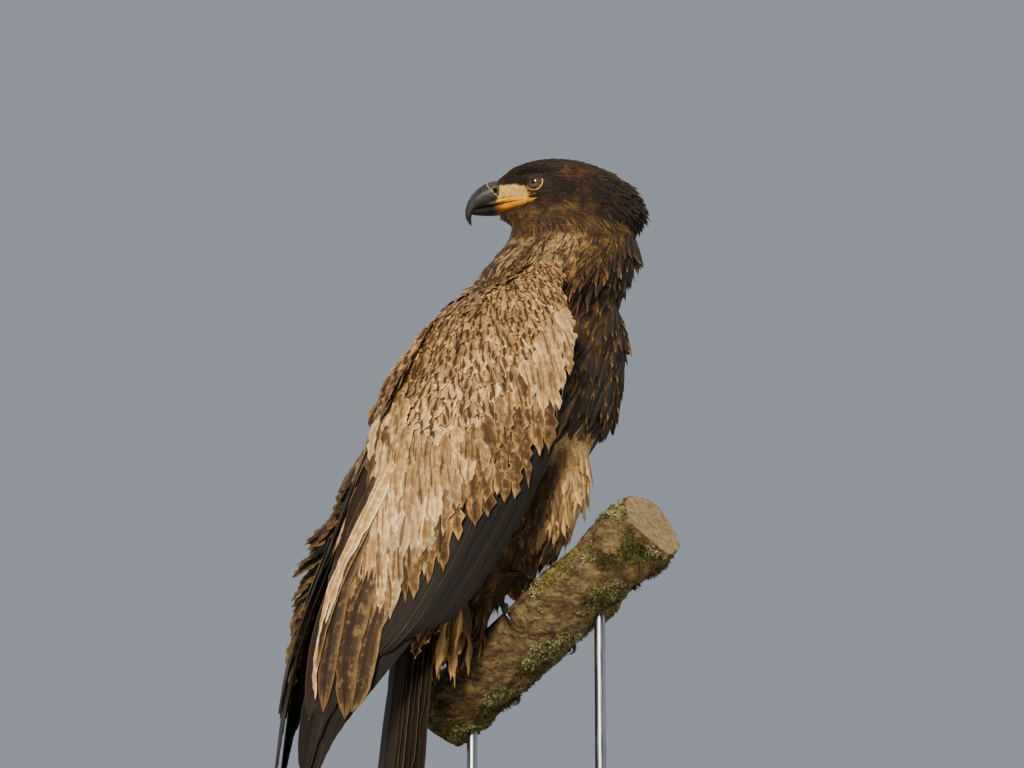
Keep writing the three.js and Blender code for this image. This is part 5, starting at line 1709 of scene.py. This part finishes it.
def branchGround(s):  # the patches of bark, clear of the feet, that one kind grows on
    rows, sides = 150, 90
    w = np.linspace(branch["low"] + 3, branch["high"] - 3, rows + 1)
    angle = np.arange(sides + 1) * 2 * math.pi / sides
    ww, aa = (x.ravel() for x in np.meshgrid(w, angle, indexing="ij"))
    spots = np.stack([ww, np.cos(aa) * 41, np.sin(aa) * 41], 1)
    b = roundBranch(ww, aa, barkRadius(ww, aa) - 0.4)
    faces = gridFaces(rows, sides)
    middle = spots[faces].mean(1)
    travel, turn = middle[:, 0], np.arctan2(middle[:, 2], middle[:, 1])
    scale, seed, level = s["noise"]
    kept = (cloud(middle, scale, seed) > level) & ((np.abs(travel) > 84) | (np.abs(turn) > 2.3))
    faces = faces[kept]
    axis = branchMiddle + branchAlong * travel[kept][:, None]
    faces = turnedOut(b, faces, b[faces].mean(1) - axis)
    used, quads = cutOut(faces)
    uv = np.stack([aa / (2 * math.pi), (ww - branch["low"]) / 360], 1)
    flow = unit(np.random.default_rng(9).normal(size=(len(used), 3)))
    return {
        "points": toFrame(b[used]), "faces": quads, "uv": uv[faces], "flow": flow,
        "size": s["size"], "streak": 1.0, "colours": [np.ones((len(used), 3))] * 3,
    }


for number, (growthName, s) in enumerate(growths.items()):
    lay = {"Width": 1.0, "Lift": 0.0, "Unrest": 0.35, **s}
    coatOver(growthName, branchGround(s), lay, 60 + number, growthFinish(growthName + "Finish", *s["colours"]), "bark")
print("bough: bark, lichen and moss")

# Stand: a turned base and two steel rods
stand = {"radius": 165.0, "height": 22.0, "rod": 6.0, "rodsAt": (-66.0, 150.0)}


def woodFinish():
    f = Finish("turnedWood", 0.38, Coat_Weight=0.3, Coat_Roughness=0.25)
    long = f.grain(f.place((9.0, 1.0, 9.0)), 16.0, 5.0, 0.6, 0.8)
    pores = f.grain(f.place((60.0, 4.0, 60.0)), 14.0, 2.0)
    colour = f.steps(long, (0.3, "3a2415"), (0.5, "5e3e25"), (0.7, "7a5636"))
    return f.finish(f.mix(f.spread(pores, 0.56, 0.7, 0.0, 0.5), colour, "2a190f"), pores, 0.0003, 0.3)


def steelFinish():
    f = Finish("brushedSteel", 0.3, Metallic=1.0)
    lines = f.grain(f.place((1, 1, 0.03)), 900.0, 2.0)
    colour = f.mix(f.spread(lines, 0.3, 0.7), "85878a", "b2b4b6")
    return f.finish(colour, lines, 0.0001, 0.3, f.spread(lines, 0.3, 0.7, 0.24, 0.4))


def makeBase():
    r, h = stand["radius"], stand["height"]
    outline = [
        (r - 4, 0), (r - 1, 0.4), (r, 2), (r, 8.6), (r - 1, 10.4), (r - 3, 11.2), (r - 4.4, 12.6), (r - 5.4, 15.4),
        (r - 6.6, 18.6), (r - 9.4, 21.2), (r - 13, h), (r - 20, h), (r - 21, h - 0.9), (r - 23, h - 0.9), (r - 24, h),
        (r * 0.6, h), (r * 0.3, h),
    ]
    points, faces = lathe([(a / 1000, z / 1000) for a, z in outline], 160)
    settle(facedOut(meshObject("standBase", points, faces, woodFinish())), "turned_wood", "stand_base")


def makeRod(number, w, material):
    top = branchMiddle + branchAlong * w + bodyPlace
    low, high = stand["height"] + 0.35, top[2] - branch["radius"] * 0.4
    r = stand["rod"]
    outline = [
        (r * 1.9, low), (r * 1.9, low + 2.4), (r * 1.6, low + 3.4), (r * 1.1, low + 3.8), (r, low + 4.4),
        (r, high - 0.8), (r * 0.9, high),
    ]
    points, faces = lathe(outline, 40)
    rod = meshObject(f"standRod{number}", (points + (top[0], top[1], 0)) / 1000, faces, material)
    settle(facedOut(rod), "steel", f"stand_rod_{number}")


makeBase()
steel = steelFinish()
for number, w in enumerate(stand["rodsAt"], 1):
    makeRod(number, w, steel)
print("stand: base and rods")

for group in formSets.values():
    for form in list(group.objects):
        bpy.data.objects.remove(form)
    bpy.data.collections.remove(group)
seen = [o for o in bpy.context.scene.objects if o.type == "MESH" and not o.hide_render]
print("whole:", sum(len(p.vertices) - 2 for o in seen for p in o.data.polygons), "triangles")
